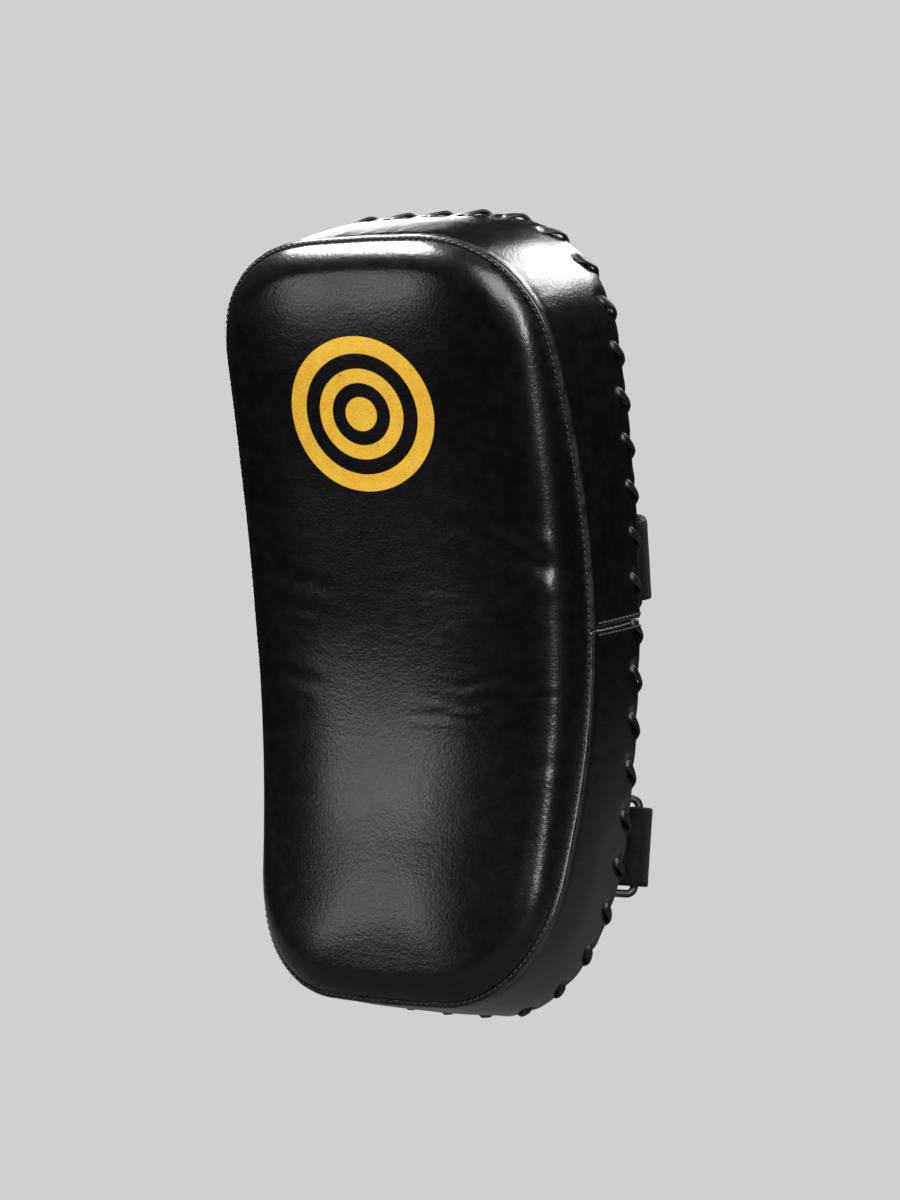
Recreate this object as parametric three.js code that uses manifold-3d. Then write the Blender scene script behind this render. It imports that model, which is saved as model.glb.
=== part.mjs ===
// A curved Thai pad for the forearm: a padded leather shell with a laced rim, a hand
// grip and two forearm straps on its back. Millimetres, +Z up, striking face toward -Y.
//
// The pad is drawn flat and then bent. Flat, a point has x (across), s (up the pad) and
// n (depth, growing toward the back). Bending rolls s and n round a cylinder whose axis
// lies in front of the striking face, so both ends lean forward.
import * as THREE from 'three';
import { mergeVertices } from 'three/addons/utils/BufferGeometryUtils.js';
import Module from 'manifold-3d';

// ---------------------------------------------------------------- driving dimensions

const GAP = 0.3; // between pieces that touch

// the curve of the whole pad
const BEND_RADIUS_UPPER = 800;
const BEND_RADIUS_LOWER = 485;

// outlines of the pad at its front seam and at its laced rim, before they are bowed
const CORNER_EXPONENT = 2.4;
const SIDE_BOW = 7.7;
const END_BOW = 5;
const FRONT = {
  halfWidth: 85.5, halfLength: 197.4, taper: 0.059,
  topCorner: [59, 59], bottomCorner: [54, 66],
};
const RIM = {
  halfWidth: 85.5, halfLength: 189, taper: 0.085,
  topCorner: [59, 59], bottomCorner: [60, 80],
};

// depths: the front seam runs deeper at mid height than at the ends
const SEAM_DEPTH_MIDDLE = -15;
const SEAM_DEPTH_ENDS = -31.7;
const SEAM_SPAN = 200;
const FACE_DEPTH = -45.5;
const FACE_CROWN = 4;
const SHOULDER_RADIUS = 21;
const RIM_DEPTH = 36;
const GUSSET_SEAM_HEIGHT = -4; // where the two side pieces meet

const LEATHER = 2;
const FOAM_CLEARANCE = 1.2;
const FOAM_JOINT_FRONT = -12;
const FOAM_JOINT_REAR = 10;
const LACE_CHANNEL = 11.2; // how far the rear foam stays in from the rim
const LACE_CHANNEL_DEPTH = 9.5;
const LACE_CHANNEL_SLOPE = LACE_CHANNEL / 3;

// whip lace round the rim
const STITCHES = 46;
const STITCH_SLANT = 16;
const LACE_RADIUS = 1.9;
const LACE_CLEARANCE = 0.45;
const LACE_SIDES = 5;
const LACE_STAND_OFF = 2.5;
const LACE_CREEP = 1; // along the rim, between a hole and the turn over the rim
const LACE_DIP = 1; // how much deeper than its holes the lace runs inside the pad
const HOLE_FROM_RIM = 7;
const HOLE_FROM_EDGE = 8;

// cushion that lies along the forearm
const CUSHION_HALF_WIDTH = 42;
const CUSHION_TOP = 62;
const CUSHION_BOTTOM = -150;
const CUSHION_CORNER = 20;
const CUSHION_HEIGHT = 11;
const CUSHION_EDGE = 5;
const CUSHION_LEATHER = 1.8;
const CUSHION_BASE = RIM_DEPTH + 0.9; // its straight edges clear the back panel's flats
const REST_HALF_LENGTH = 30; // the part of the cushion that is truly flat
const CUSHION_BEND_STOPS = [-110, -70]; // where the part below it bends

// rivets
const RIVET_HEAD_RADIUS = 4.6;
const RIVET_HEAD_HEIGHT = 1.9;
const RIVET_DOME = [[0.9, 0.5], [0.5, 0.9]]; // its corners, as shares of the head's radius and height
const RIVET_SHANK_RADIUS = 1.6;
const RIVET_TAIL_RADIUS = 4.2;
const RIVET_TAIL_HEIGHT = 1;
const RIVET_TAIL_DEPTH = 2.9; // below the back panel's outer face
const RIVET_HOLE_RADIUS = 2;
const RIVET_HOLE_MARGIN = 1; // how far a hole's cutter passes the leather
const RIVET_POCKET_RADIUS = 5.2;
const RIVET_POCKET_DEPTH = 5;

// hand grip
const GRIP_HEIGHT_ON_PAD = 112;
const GRIP_AXIS_HEIGHT = 52;
const GRIP_RISER_X = 60;
const GRIP_BEND = 10;
const GRIP_FOOT = 5;
const GRIP_STRAP_WIDTH = 26;
const GRIP_STRAP_THICKNESS = 3;
const GRIP_SLEEVE_RADIUS = 15.5;
const GRIP_SLEEVE_LENGTH = 98;
const GRIP_SLEEVE_LEATHER = 1;
const GRIP_CORE_RECESS = 3; // at each end of the sleeve
const GRIP_TAB = { inner: 62.3, outer: 83, width: 42, thickness: 3, corner: 6, rivetX: 73, rivetZ: 11 };

// forearm straps, each looped through a ring and folded back on itself
const STRAP_WIDTH = 40;
const STRAP_THICKNESS = 2.6;
const STRAP_STATIONS = {
  lower: { height: -110, barX: 68, leftX: -76, top: 72 },
  upper: { height: 21, barX: 68, leftX: -77, top: 66 },
};
const ARCH_SPRING = 12; // height at which a strap stands upright on its left side
const STRAP_END_X = -51;
const STRAP_RIVET = { x: -59, z: 11, cutTop: 6 };
const RING_BAR_HEIGHT = 5.4;
const RING_LEAN = THREE.MathUtils.degToRad(46);
const RING = { reach: 19.6, bar: 4, length: 52, thickness: 3.4, corner: 6, bevel: 0.6 };
const RING_TAB = {
  inner: 45, loop: 5.1, bore: 3, leave: THREE.MathUtils.degToRad(125),
  thickness: 4.6, width: 40, rivetX: 53, rivetZ: 11, cutTop: 8,
};
const TURN_RADIUS = 4.3;
const TURN_SHANK = 3;
const TURN_JOINT = 1.1; // between the turn and the stretches of strap on each side of it
const PATCH_THICKNESS = 1.2;
const PATCH_WIDTH = 36;
const PATCH_AIR = 0.5; // between the hooks and the loops
const FLAP_FROM = 18; // degrees round the arch, from its right-hand side
const FLAP_TO = 80;
const HOOKS_FROM = 38;
const HOOKS_TO = 78;
const LOOPS_FROM = 32;
const LOOPS_TO = 96;

// fineness of the meshes
const CORNER_STEPS = 6;
const SIDE_STEPS = 3;
const END_STEPS = 4;
const SHOULDER_STEPS = 4;
const FACE_COLUMNS = 4;
const ROUND_STEPS = 10;
const HOLE_SIDES = 8;
const CORNER_CURVE_STEPS = 4;
const RING_CURVE_STEPS = 3;
const STRAP_BEND_STEPS = 4;
const STRAP_TURN_STEPS = 6;
const ARCH_STEPS = 16;
const FLAP_STEPS = 8;
const PATCH_STEPS = 6;

// ---------------------------------------------------------------- materials

const leather = (colour, roughness) => new THREE.MeshStandardMaterial({ color: colour, roughness });
const BLACK_LEATHER = 0x161617;
const FINISH = {
  shell: () => leather(BLACK_LEATHER, 0.42),
  trim: () => leather(0x1b1b1c, 0.55),
  lace: () => leather(0x141414, 0.5),
  foam: () => new THREE.MeshStandardMaterial({ color: 0x4a4a48, roughness: 0.95 }),
  webbing: () => new THREE.MeshStandardMaterial({ color: 0x101011, roughness: 0.85 }),
  pile: () => new THREE.MeshStandardMaterial({ color: 0x0b0b0b, roughness: 1 }),
  plastic: () => new THREE.MeshStandardMaterial({ color: 0x1d1d1e, roughness: 0.4 }),
  steel: () => new THREE.MeshStandardMaterial({ color: 0x9a9a9c, roughness: 0.3, metalness: 1 }),
};

function piece(name, geometry, finish) {
  const mesh = new THREE.Mesh(geometry, finish());
  mesh.name = name;
  return mesh;
}

// ---------------------------------------------------------------- solids

const manifold = await Module();
manifold.setup();

function merged(geometry) {
  const bare = geometry.clone();
  bare.deleteAttribute('normal');
  bare.deleteAttribute('uv');
  return mergeVertices(bare, 1e-4);
}

function toSolid(geometry) {
  const mesh = merged(geometry);
  return new manifold.Manifold(new manifold.Mesh({
    numProp: 3,
    vertProperties: new Float32Array(mesh.attributes.position.array),
    triVerts: new Uint32Array(mesh.index.array),
  }));
}

function toGeometry(solid) {
  const mesh = solid.getMesh();
  const geometry = new THREE.BufferGeometry();
  geometry.setAttribute('position', new THREE.BufferAttribute(mesh.vertProperties, 3));
  geometry.setIndex(new THREE.BufferAttribute(mesh.triVerts, 1));
  return geometry;
}

function cut(geometry, cutters) {
  const start = toSolid(geometry);
  return toGeometry(cutters.reduce((solid, cutter) => solid.subtract(toSolid(cutter)), start));
}

// A closed surface put together from loops of points, walls between them and caps.
class Surface {
  points = [];
  faces = [];

  loop(points) {
    return points.map((point) => this.points.push(point) - 1);
  }

  quad(a, b, c, d) {
    this.faces.push(a, b, c, a, c, d);
  }

  wall(first, second) {
    first.forEach((from, i) => {
      const j = (i + 1) % first.length;
      this.quad(from, first[j], second[j], second[i]);
    });
  }

  // Closes a loop that is mirrored left to right, with a rib across it at each height.
  // between(left, right, t) gives the point at the fraction t along a rib.
  cap(loop, columns, between, flipped = false) {
    const half = loop.length / 2;
    const ribs = [];
    for (let i = 1; i < half; i += 1) {
      const left = loop[loop.length - i];
      const right = loop[i];
      const rib = [left];
      for (let c = 1; c < columns; c += 1) {
        rib.push(this.points.push(between(this.points[left], this.points[right], c / columns)) - 1);
      }
      rib.push(right);
      ribs.push(rib);
    }
    const triangle = (a, b, c) => (flipped ? this.faces.push(a, c, b) : this.faces.push(a, b, c));
    for (let c = 0; c < columns; c += 1) {
      triangle(loop[0], ribs[0][c + 1], ribs[0][c]);
      triangle(ribs.at(-1)[c], ribs.at(-1)[c + 1], loop[half]);
      for (let i = 0; i + 1 < ribs.length; i += 1) {
        triangle(ribs[i][c], ribs[i][c + 1], ribs[i + 1][c + 1]);
        triangle(ribs[i][c], ribs[i + 1][c + 1], ribs[i + 1][c]);
      }
    }
  }

  volume() {
    let total = 0;
    for (let i = 0; i < this.faces.length; i += 3) {
      const [a, b, c] = this.faces.slice(i, i + 3).map((index) => this.points[index]);
      total += a.dot(b.clone().cross(c)) / 6;
    }
    return total;
  }

  geometry() {
    const faces = this.volume() < 0 ? this.faces.toReversed() : this.faces;
    const geometry = new THREE.BufferGeometry().setFromPoints(this.points);
    geometry.setIndex(faces);
    geometry.computeVertexNormals();
    return geometry;
  }
}

// Loops joined one after the other, with a cap on the first and on the last.
function stack(loops, firstCap, lastCap, columns = FACE_COLUMNS) {
  const surface = new Surface();
  const rows = loops.map((points) => surface.loop(points));
  for (let i = 0; i + 1 < rows.length; i += 1) {
    surface.wall(rows[i], rows[i + 1]);
  }
  surface.cap(rows[0], columns, firstCap, true);
  surface.cap(rows.at(-1), columns, lastCap);
  return surface.geometry();
}

// Cross-sections of four points swept along an open run.
function run(sections) {
  const surface = new Surface();
  const rows = sections.map((points) => surface.loop(points));
  for (let i = 0; i + 1 < rows.length; i += 1) {
    surface.wall(rows[i], rows[i + 1]);
  }
  const [a, b] = [rows[0], rows.at(-1)];
  surface.quad(a[3], a[2], a[1], a[0]);
  surface.quad(b[0], b[1], b[2], b[3]);
  return surface.geometry();
}

// ---------------------------------------------------------------- the bent pad

function bend(x, s, n) {
  const radius = s > 0 ? BEND_RADIUS_UPPER : BEND_RADIUS_LOWER;
  const angle = s / radius;
  return new THREE.Vector3(x, (radius + n) * Math.cos(angle) - radius, (radius + n) * Math.sin(angle));
}

const lerp = THREE.MathUtils.lerp;

// One loop round an outline as [x, s], from the middle of the lower end, anticlockwise
// seen from the front. sideStops are the heights of its points along the straight sides.
function outline(shape, inset, sideStops) {
  const halfWidth = shape.halfWidth - inset;
  const halfLength = shape.halfLength - inset;
  const [topX, topS] = shape.topCorner.map((radius) => radius - inset);
  const [bottomX, bottomS] = shape.bottomCorner.map((radius) => radius - inset);
  const power = 2 / CORNER_EXPONENT;
  const right = [];
  for (let i = 0; i < END_STEPS / 2; i += 1) {
    right.push([(halfWidth - bottomX) * (2 * i / END_STEPS), -halfLength]);
  }
  for (let i = CORNER_STEPS; i >= 0; i -= 1) {
    const angle = (Math.PI / 2) * (i / CORNER_STEPS);
    const x = halfWidth - bottomX + bottomX * Math.cos(angle) ** power;
    right.push([x, -(halfLength - bottomS + bottomS * Math.sin(angle) ** power)]);
  }
  sideStops.forEach((s) => right.push([halfWidth, s]));
  for (let i = 0; i <= CORNER_STEPS; i += 1) {
    const angle = (Math.PI / 2) * (i / CORNER_STEPS);
    const x = halfWidth - topX + topX * Math.cos(angle) ** power;
    right.push([x, halfLength - topS + topS * Math.sin(angle) ** power]);
  }
  for (let i = END_STEPS / 2 - 1; i >= 0; i -= 1) {
    right.push([(halfWidth - topX) * (2 * i / END_STEPS), halfLength]);
  }
  const left = right.slice(1, -1).reverse().map(([x, s]) => [-x, s]);
  return [...right, ...left].map(([x, s]) => {
    const across = x / halfWidth;
    const along = s / halfLength;
    const bowed = x * (1 + ((shape.sideBow ?? 0) / halfWidth) * (1 - along ** 2));
    const height = s * (1 + ((shape.endBow ?? 0) / halfLength) * (1 - across ** 2));
    return [bowed * (1 + (shape.taper ?? 0) * (height / halfLength)), height + (shape.centre ?? 0)];
  });
}

// The sides' points, with a pair a gap apart where the two side pieces meet.
const PAD_SIDE_STOPS = (() => {
  const low = -(FRONT.halfLength - FRONT.bottomCorner[1]);
  const high = FRONT.halfLength - FRONT.topCorner[1];
  const below = GUSSET_SEAM_HEIGHT - GAP / 2;
  const above = GUSSET_SEAM_HEIGHT + GAP / 2;
  const stops = [];
  for (let i = 1; i <= SIDE_STEPS; i += 1) {
    stops.push(lerp(Math.max(low, -RIM.halfLength + RIM.bottomCorner[1]), below, i / SIDE_STEPS));
  }
  for (let i = 0; i < SIDE_STEPS; i += 1) {
    stops.push(lerp(above, high, i / SIDE_STEPS));
  }
  return stops;
})();

const bowedShape = (shape) => ({ ...shape, sideBow: SIDE_BOW, endBow: END_BOW });
const padOutline = (shape, inset) => outline(bowedShape(shape), inset, PAD_SIDE_STOPS);
const POINTS = padOutline(RIM, 0).length;
const INDICES = [...Array(POINTS).keys()];

// Depth of the front seam at each point round the pad.
const SEAM_DEPTHS = padOutline(FRONT, 0).map(([, s]) => {
  const along = Math.min(1, Math.abs(s) / SEAM_SPAN) ** 2;
  return lerp(SEAM_DEPTH_MIDDLE, SEAM_DEPTH_ENDS, along * (2 - along));
});

const SHOULDER_CENTRE = FACE_DEPTH + SHOULDER_RADIUS;

// How far the shoulder has turned where the front seam meets it.
const seamTurn = (i) => Math.asin(Math.max(0, (SHOULDER_CENTRE - SEAM_DEPTHS[i]) / SHOULDER_RADIUS));

// A point of the shoulder, turned by an angle and sunk below the outer surface.
function shoulderPoint(i, turn, sunk) {
  const radius = SHOULDER_RADIUS - sunk;
  const inset = SHOULDER_RADIUS - radius * Math.cos(turn);
  const [x, s] = padOutline(FRONT, inset)[i];
  return [x, s, SHOULDER_CENTRE - radius * Math.sin(turn)];
}

function seamPoint(i, sunk) {
  const [x, s] = shoulderPoint(i, seamTurn(i), sunk);
  return [x, s, SEAM_DEPTHS[i]];
}

// A point of the side wall: 0 at the front seam, 1 at the rim.
function wallPoint(i, fraction, sunk) {
  const front = seamPoint(i, sunk);
  const [x, s] = padOutline(RIM, sunk)[i];
  return [x, s, RIM_DEPTH].map((value, k) => lerp(front[k], value, fraction));
}

// A point of the side wall at a given depth.
function wallPointAt(i, depth, sunk) {
  return wallPoint(i, (depth - SEAM_DEPTHS[i]) / (RIM_DEPTH - SEAM_DEPTHS[i]), sunk);
}

const bentLoop = (pointAt) => INDICES.map((i) => bend(...pointAt(i)));

const straight = (left, right, t) => left.clone().lerp(right, t);

// The striking face bulges most at its middle.
function crowned(left, right, t) {
  const middle = left.clone().lerp(right, t);
  const bulge = FACE_CROWN * (1 - (2 * t - 1) ** 2) * (left.distanceTo(right) / (2 * FRONT.halfWidth));
  return middle.add(new THREE.Vector3(0, -bulge, 0));
}

function shoulderLoops(sunk) {
  const loops = [bentLoop((i) => seamPoint(i, sunk))];
  for (let row = 1; row <= SHOULDER_STEPS; row += 1) {
    loops.push(bentLoop((i) => {
      const turn = lerp(seamTurn(i), Math.PI / 2, row / SHOULDER_STEPS);
      return shoulderPoint(i, turn, sunk);
    }));
  }
  return loops;
}

const frontPanel = () => stack(
  [...shoulderLoops(LEATHER).reverse(), ...shoulderLoops(0)],
  crowned,
  crowned,
);

// One side piece, from index to index round the pad, between the front seam and the rim.
function gusset(indices) {
  const first = (i) => (GAP / (RIM_DEPTH - SEAM_DEPTHS[i]));
  return run(indices.map((i) => [
    bend(...wallPoint(i, first(i), 0)),
    bend(...wallPoint(i, 1, 0)),
    bend(...wallPoint(i, 1, LEATHER)),
    bend(...wallPoint(i, first(i), LEATHER)),
  ]));
}

function gussetIndices(upper) {
  const seam = (i) => padOutline(RIM, 0)[i][1] > GUSSET_SEAM_HEIGHT;
  const start = INDICES.find((i) => seam(i));
  const count = INDICES.filter((i) => seam(i)).length;
  const from = upper ? start : start + count;
  const length = upper ? count : POINTS - count;
  return [...Array(length).keys()].map((i) => (from + i) % POINTS);
}

function backPanel() {
  const flat = (depth) => bentLoop((i) => [...padOutline(RIM, LEATHER + GAP)[i], depth]);
  return stack([flat(RIM_DEPTH - LEATHER), flat(RIM_DEPTH)], straight, straight, 1);
}

const FOAM_SUNK = LEATHER + FOAM_CLEARANCE;

function frontFoam() {
  const back = bentLoop((i) => wallPointAt(i, FOAM_JOINT_FRONT, FOAM_SUNK));
  return stack([...shoulderLoops(FOAM_SUNK).reverse(), back], crowned, straight);
}

function middleFoam() {
  const loop = (depth) => bentLoop((i) => wallPointAt(i, depth, FOAM_SUNK));
  return stack([loop(FOAM_JOINT_FRONT + GAP), loop(FOAM_JOINT_REAR)], straight, straight, 1);
}

function rearFoam() {
  const wide = (depth) => bentLoop((i) => wallPointAt(i, depth, FOAM_SUNK));
  const narrow = (depth) => bentLoop((i) => [...padOutline(RIM, LACE_CHANNEL)[i], depth]);
  const step = RIM_DEPTH - LACE_CHANNEL_DEPTH;
  return stack([
    wide(FOAM_JOINT_REAR + GAP),
    wide(step - LACE_CHANNEL_SLOPE),
    narrow(step),
    narrow(RIM_DEPTH - LEATHER - GAP),
  ], straight, straight, 1);
}

// ---------------------------------------------------------------- the whip lace

// Points round the rim, by the distance along it, clockwise seen from the front. out
// stands off the side wall and depth counts from the rim, forward when negative.
const RIM_POINTS = padOutline(RIM, 0).map(([x, s]) => new THREE.Vector2(x, s));
const RIM_LENGTHS = RIM_POINTS.map((point, i) => point.distanceTo(RIM_POINTS[(i + 1) % POINTS]));
const RIM_LENGTH = RIM_LENGTHS.reduce((sum, length) => sum + length, 0);

function rimPoint(distance, out, depth) {
  let left = (2 * RIM_LENGTH - distance) % RIM_LENGTH;
  let i = 0;
  while (left > RIM_LENGTHS[i]) {
    left -= RIM_LENGTHS[i];
    i += 1;
  }
  const place = (index) => (depth > 0
    ? [...padOutline(RIM, -out)[index], RIM_DEPTH + depth]
    : wallPointAt(index, RIM_DEPTH + depth, -out));
  const a = place(i);
  const b = place((i + 1) % POINTS);
  return bend(...a.map((value, k) => lerp(value, b[k], left / RIM_LENGTHS[i])));
}

// Straight stretches between given points, as a curve to sweep along.
class Polyline extends THREE.Curve {
  constructor(points) {
    super();
    this.points = points;
  }

  getPointAt(u) {
    return this.points[Math.round(u * (this.points.length - 1))].clone();
  }

  getTangentAt(u) {
    const i = Math.round(u * (this.points.length - 1));
    const before = this.points[Math.max(0, i - 1)];
    const after = this.points[Math.min(this.points.length - 1, i + 1)];
    const here = this.points[i];
    const incoming = here.clone().sub(before).normalize();
    return incoming.add(after.clone().sub(here).normalize()).normalize();
  }
}

function lacePath() {
  const pitch = RIM_LENGTH / STITCHES;
  const inside = -(HOLE_FROM_RIM - LACE_STAND_OFF);
  const points = [];
  for (let stitch = 0; stitch < STITCHES; stitch += 1) {
    const start = stitch * pitch;
    const end = start + STITCH_SLANT;
    points.push(rimPoint(start, inside, -HOLE_FROM_RIM));
    points.push(rimPoint(start + LACE_CREEP, LACE_STAND_OFF, -HOLE_FROM_RIM));
    points.push(rimPoint((start + end) / 2, LACE_STAND_OFF, LACE_STAND_OFF));
    points.push(rimPoint(end - LACE_CREEP, -HOLE_FROM_EDGE, LACE_STAND_OFF));
    points.push(rimPoint(end, -HOLE_FROM_EDGE, inside));
    if (stitch < STITCHES - 1) {
      const between = (end + start + pitch) / 2;
      points.push(rimPoint(between, inside - LACE_DIP, -HOLE_FROM_RIM));
    }
  }
  return points;
}

function lace(radius) {
  const section = new THREE.Shape();
  for (let i = 0; i < LACE_SIDES; i += 1) {
    const angle = (2 * Math.PI * i) / LACE_SIDES;
    const corner = [radius * Math.cos(angle), radius * Math.sin(angle)];
    section[i === 0 ? 'moveTo' : 'lineTo'](...corner);
  }
  const path = new Polyline(lacePath());
  return new THREE.ExtrudeGeometry(section, { steps: path.points.length - 1, extrudePath: path });
}

// ---------------------------------------------------------------- forearm cushion

const CUSHION = {
  halfWidth: CUSHION_HALF_WIDTH,
  halfLength: (CUSHION_TOP - CUSHION_BOTTOM) / 2,
  centre: (CUSHION_TOP + CUSHION_BOTTOM) / 2,
  topCorner: [CUSHION_CORNER, CUSHION_CORNER],
  bottomCorner: [CUSHION_CORNER, CUSHION_CORNER],
};
const CUSHION_SIDE_STOPS = [...CUSHION_BEND_STOPS, -REST_HALF_LENGTH, 0, REST_HALF_LENGTH]
  .map((s) => s - CUSHION.centre);
const CUSHION_REST = RIM_DEPTH + CUSHION_HEIGHT; // the flat face's distance behind the middle

// Depth of the cushion's top: a plane near mid height, then a curve that follows the pad.
function cushionDepth(s, sunk) {
  const radius = s > 0 ? BEND_RADIUS_UPPER : BEND_RADIUS_LOWER;
  const angle = Math.min(Math.abs(s), REST_HALF_LENGTH) / radius;
  return (radius + CUSHION_REST - sunk) / Math.cos(angle) - radius;
}

function cushionLoops(sunk) {
  const loop = (inset, depthAt) => outline(CUSHION, inset, CUSHION_SIDE_STOPS)
    .map(([x, s]) => bend(x, s, depthAt(s)));
  return [
    loop(sunk, () => CUSHION_BASE),
    loop(sunk, (s) => cushionDepth(s, sunk) - CUSHION_EDGE + sunk),
    loop(CUSHION_EDGE, (s) => cushionDepth(s, sunk)),
  ];
}

const cushionCover = () => stack(
  [...cushionLoops(CUSHION_LEATHER).reverse(), ...cushionLoops(0)],
  straight,
  straight,
  1,
);

const cushionFoam = () => {
  const loops = cushionLoops(CUSHION_LEATHER + GAP).reverse();
  return stack(loops, straight, straight, 1);
};

// ---------------------------------------------------------------- straps and fittings

// A frame standing on the back panel: x across, y away from the panel, z up the pad.
function seat(s) {
  const group = new THREE.Group();
  group.position.copy(bend(0, s, RIM_DEPTH));
  group.rotation.x = s / (s > 0 ? BEND_RADIUS_UPPER : BEND_RADIUS_LOWER);
  group.updateMatrix();
  return group;
}

// A flat band seen on edge: its middle line in x and y, its thickness, its width along z.
function band(line, thickness, width) {
  const side = (sign) => line.map((point, i) => {
    const before = line[Math.max(0, i - 1)];
    const after = line[Math.min(line.length - 1, i + 1)];
    const along = after.clone().sub(before).normalize();
    return new THREE.Vector2(-along.y, along.x).multiplyScalar((sign * thickness) / 2).add(point);
  });
  const shape = new THREE.Shape([...side(1), ...side(-1).reverse()]);
  const geometry = new THREE.ExtrudeGeometry(shape, { depth: width, bevelEnabled: false });
  return geometry.translate(0, 0, -width / 2);
}

function arc(centreX, centreY, radiusX, radiusY, fromDegrees, toDegrees, steps) {
  const points = [];
  for (let i = 0; i <= steps; i += 1) {
    const angle = THREE.MathUtils.degToRad(lerp(fromDegrees, toDegrees, i / steps));
    points.push(new THREE.Vector2(
      centreX + radiusX * Math.cos(angle),
      centreY + radiusY * Math.sin(angle),
    ));
  }
  return points;
}

function rivetHole(x, z, radius, from, to) {
  const hole = new THREE.CylinderGeometry(radius, radius, to - from, HOLE_SIDES);
  return hole.translate(x, (from + to) / 2, z);
}

// Cutters for the two holes of a part that stands on the back panel.
const holePair = (x, z, top) => [-1, 1]
  .map((end) => rivetHole(x, end * z, RIVET_HOLE_RADIUS, -RIVET_HOLE_MARGIN, top));

function rivet(name, x, z, topOfStack) {
  const head = topOfStack + GAP;
  const tail = -RIVET_TAIL_DEPTH;
  const profile = [
    [0, tail - RIVET_TAIL_HEIGHT],
    [RIVET_TAIL_RADIUS, tail - RIVET_TAIL_HEIGHT],
    [RIVET_TAIL_RADIUS, tail],
    [RIVET_SHANK_RADIUS, tail],
    [RIVET_SHANK_RADIUS, head],
    [RIVET_HEAD_RADIUS, head],
    ...RIVET_DOME.map(([out, up]) => [RIVET_HEAD_RADIUS * out, head + RIVET_HEAD_HEIGHT * up]),
    [0, head + RIVET_HEAD_HEIGHT],
  ];
  const points = profile.map(([radius, y]) => new THREE.Vector2(radius, y));
  const mesh = piece(name, new THREE.LatheGeometry(points, ROUND_STEPS), FINISH.steel);
  mesh.position.set(x, 0, z);
  return mesh;
}

// Every rivet: the height of its seat, its place there, its name and what it clamps.
function rivetPlan() {
  const plan = [];
  [-1, 1].forEach((side) => [-1, 1].forEach((end) => {
    const name = `grip_rivet_${side < 0 ? 'left' : 'right'}_${end < 0 ? 'lower' : 'upper'}`;
    const x = side * GRIP_TAB.rivetX;
    const z = end * GRIP_TAB.rivetZ;
    plan.push({ seat: GRIP_HEIGHT_ON_PAD, name, x, z, top: GRIP_TAB.thickness + GAP });
  }));
  Object.entries(STRAP_STATIONS).forEach(([station, { height }]) => [-1, 1].forEach((end) => {
    const which = `${station}_${end < 0 ? 'a' : 'b'}`;
    const strapTop = STRAP_THICKNESS + GAP;
    const tabTop = RING_TAB.thickness + GAP;
    const [strapX, strapZ] = [STRAP_RIVET.x, end * STRAP_RIVET.z];
    const [tabX, tabZ] = [RING_TAB.rivetX, end * RING_TAB.rivetZ];
    plan.push({ seat: height, name: `strap_rivet_${which}`, x: strapX, z: strapZ, top: strapTop });
    plan.push({ seat: height, name: `ring_rivet_${which}`, x: tabX, z: tabZ, top: tabTop });
  }));
  return plan;
}

function atSeat(s, geometry) {
  return geometry.applyMatrix4(seat(s).matrix);
}

// Cutters for every rivet, from a depth below the back panel's outer face.
const rivetCutters = (radius, depth) => rivetPlan().map(({ seat: height, x, z }) => (
  atSeat(height, rivetHole(x, z, radius, -depth, RIVET_HOLE_MARGIN))
));

// ---------------------------------------------------------------- hand grip

function gripTab(side) {
  const { inner, outer, width, thickness, corner, rivetX, rivetZ } = GRIP_TAB;
  const shape = new THREE.Shape();
  shape.moveTo(inner, -width / 2);
  shape.lineTo(outer - corner, -width / 2);
  shape.absarc(outer - corner, -width / 2 + corner, corner, -Math.PI / 2, 0);
  shape.absarc(outer - corner, width / 2 - corner, corner, 0, Math.PI / 2);
  shape.lineTo(inner, width / 2);
  [-1, 1].forEach((end) => {
    const hole = new THREE.Path();
    hole.absarc(rivetX, end * rivetZ, RIVET_HOLE_RADIUS, 0, 2 * Math.PI);
    shape.holes.push(hole);
  });
  const geometry = new THREE.ExtrudeGeometry(shape, {
    depth: thickness, bevelEnabled: false, curveSegments: CORNER_CURVE_STEPS,
  });
  geometry.rotateX(-Math.PI / 2).rotateY(side < 0 ? Math.PI : 0).translate(0, GAP, 0);
  return piece(`grip_tab_${side < 0 ? 'left' : 'right'}`, geometry, FINISH.trim);
}

function gripStrap() {
  const centreX = GRIP_RISER_X - GRIP_BEND;
  const centreY = GRIP_AXIS_HEIGHT - GRIP_BEND;
  const right = [
    new THREE.Vector2(GRIP_RISER_X, GRIP_FOOT),
    ...arc(centreX, centreY, GRIP_BEND, GRIP_BEND, 0, 90, STRAP_BEND_STEPS),
  ];
  const left = right.map((point) => new THREE.Vector2(-point.x, point.y)).reverse();
  const geometry = band([...right, ...left], GRIP_STRAP_THICKNESS, GRIP_STRAP_WIDTH);
  return piece('grip_strap', geometry, FINISH.trim);
}

// A round bar along x with a hole through it, centred on the grip's axis.
function gripTube(radius, length, hole) {
  const shape = new THREE.Shape();
  shape.absarc(0, 0, radius, 0, 2 * Math.PI);
  shape.holes.push(hole);
  const geometry = new THREE.ExtrudeGeometry(shape, {
    depth: length, bevelEnabled: false, curveSegments: ROUND_STEPS * 2,
  });
  return geometry.translate(0, 0, -length / 2).rotateY(Math.PI / 2).translate(0, GRIP_AXIS_HEIGHT, 0);
}

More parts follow.
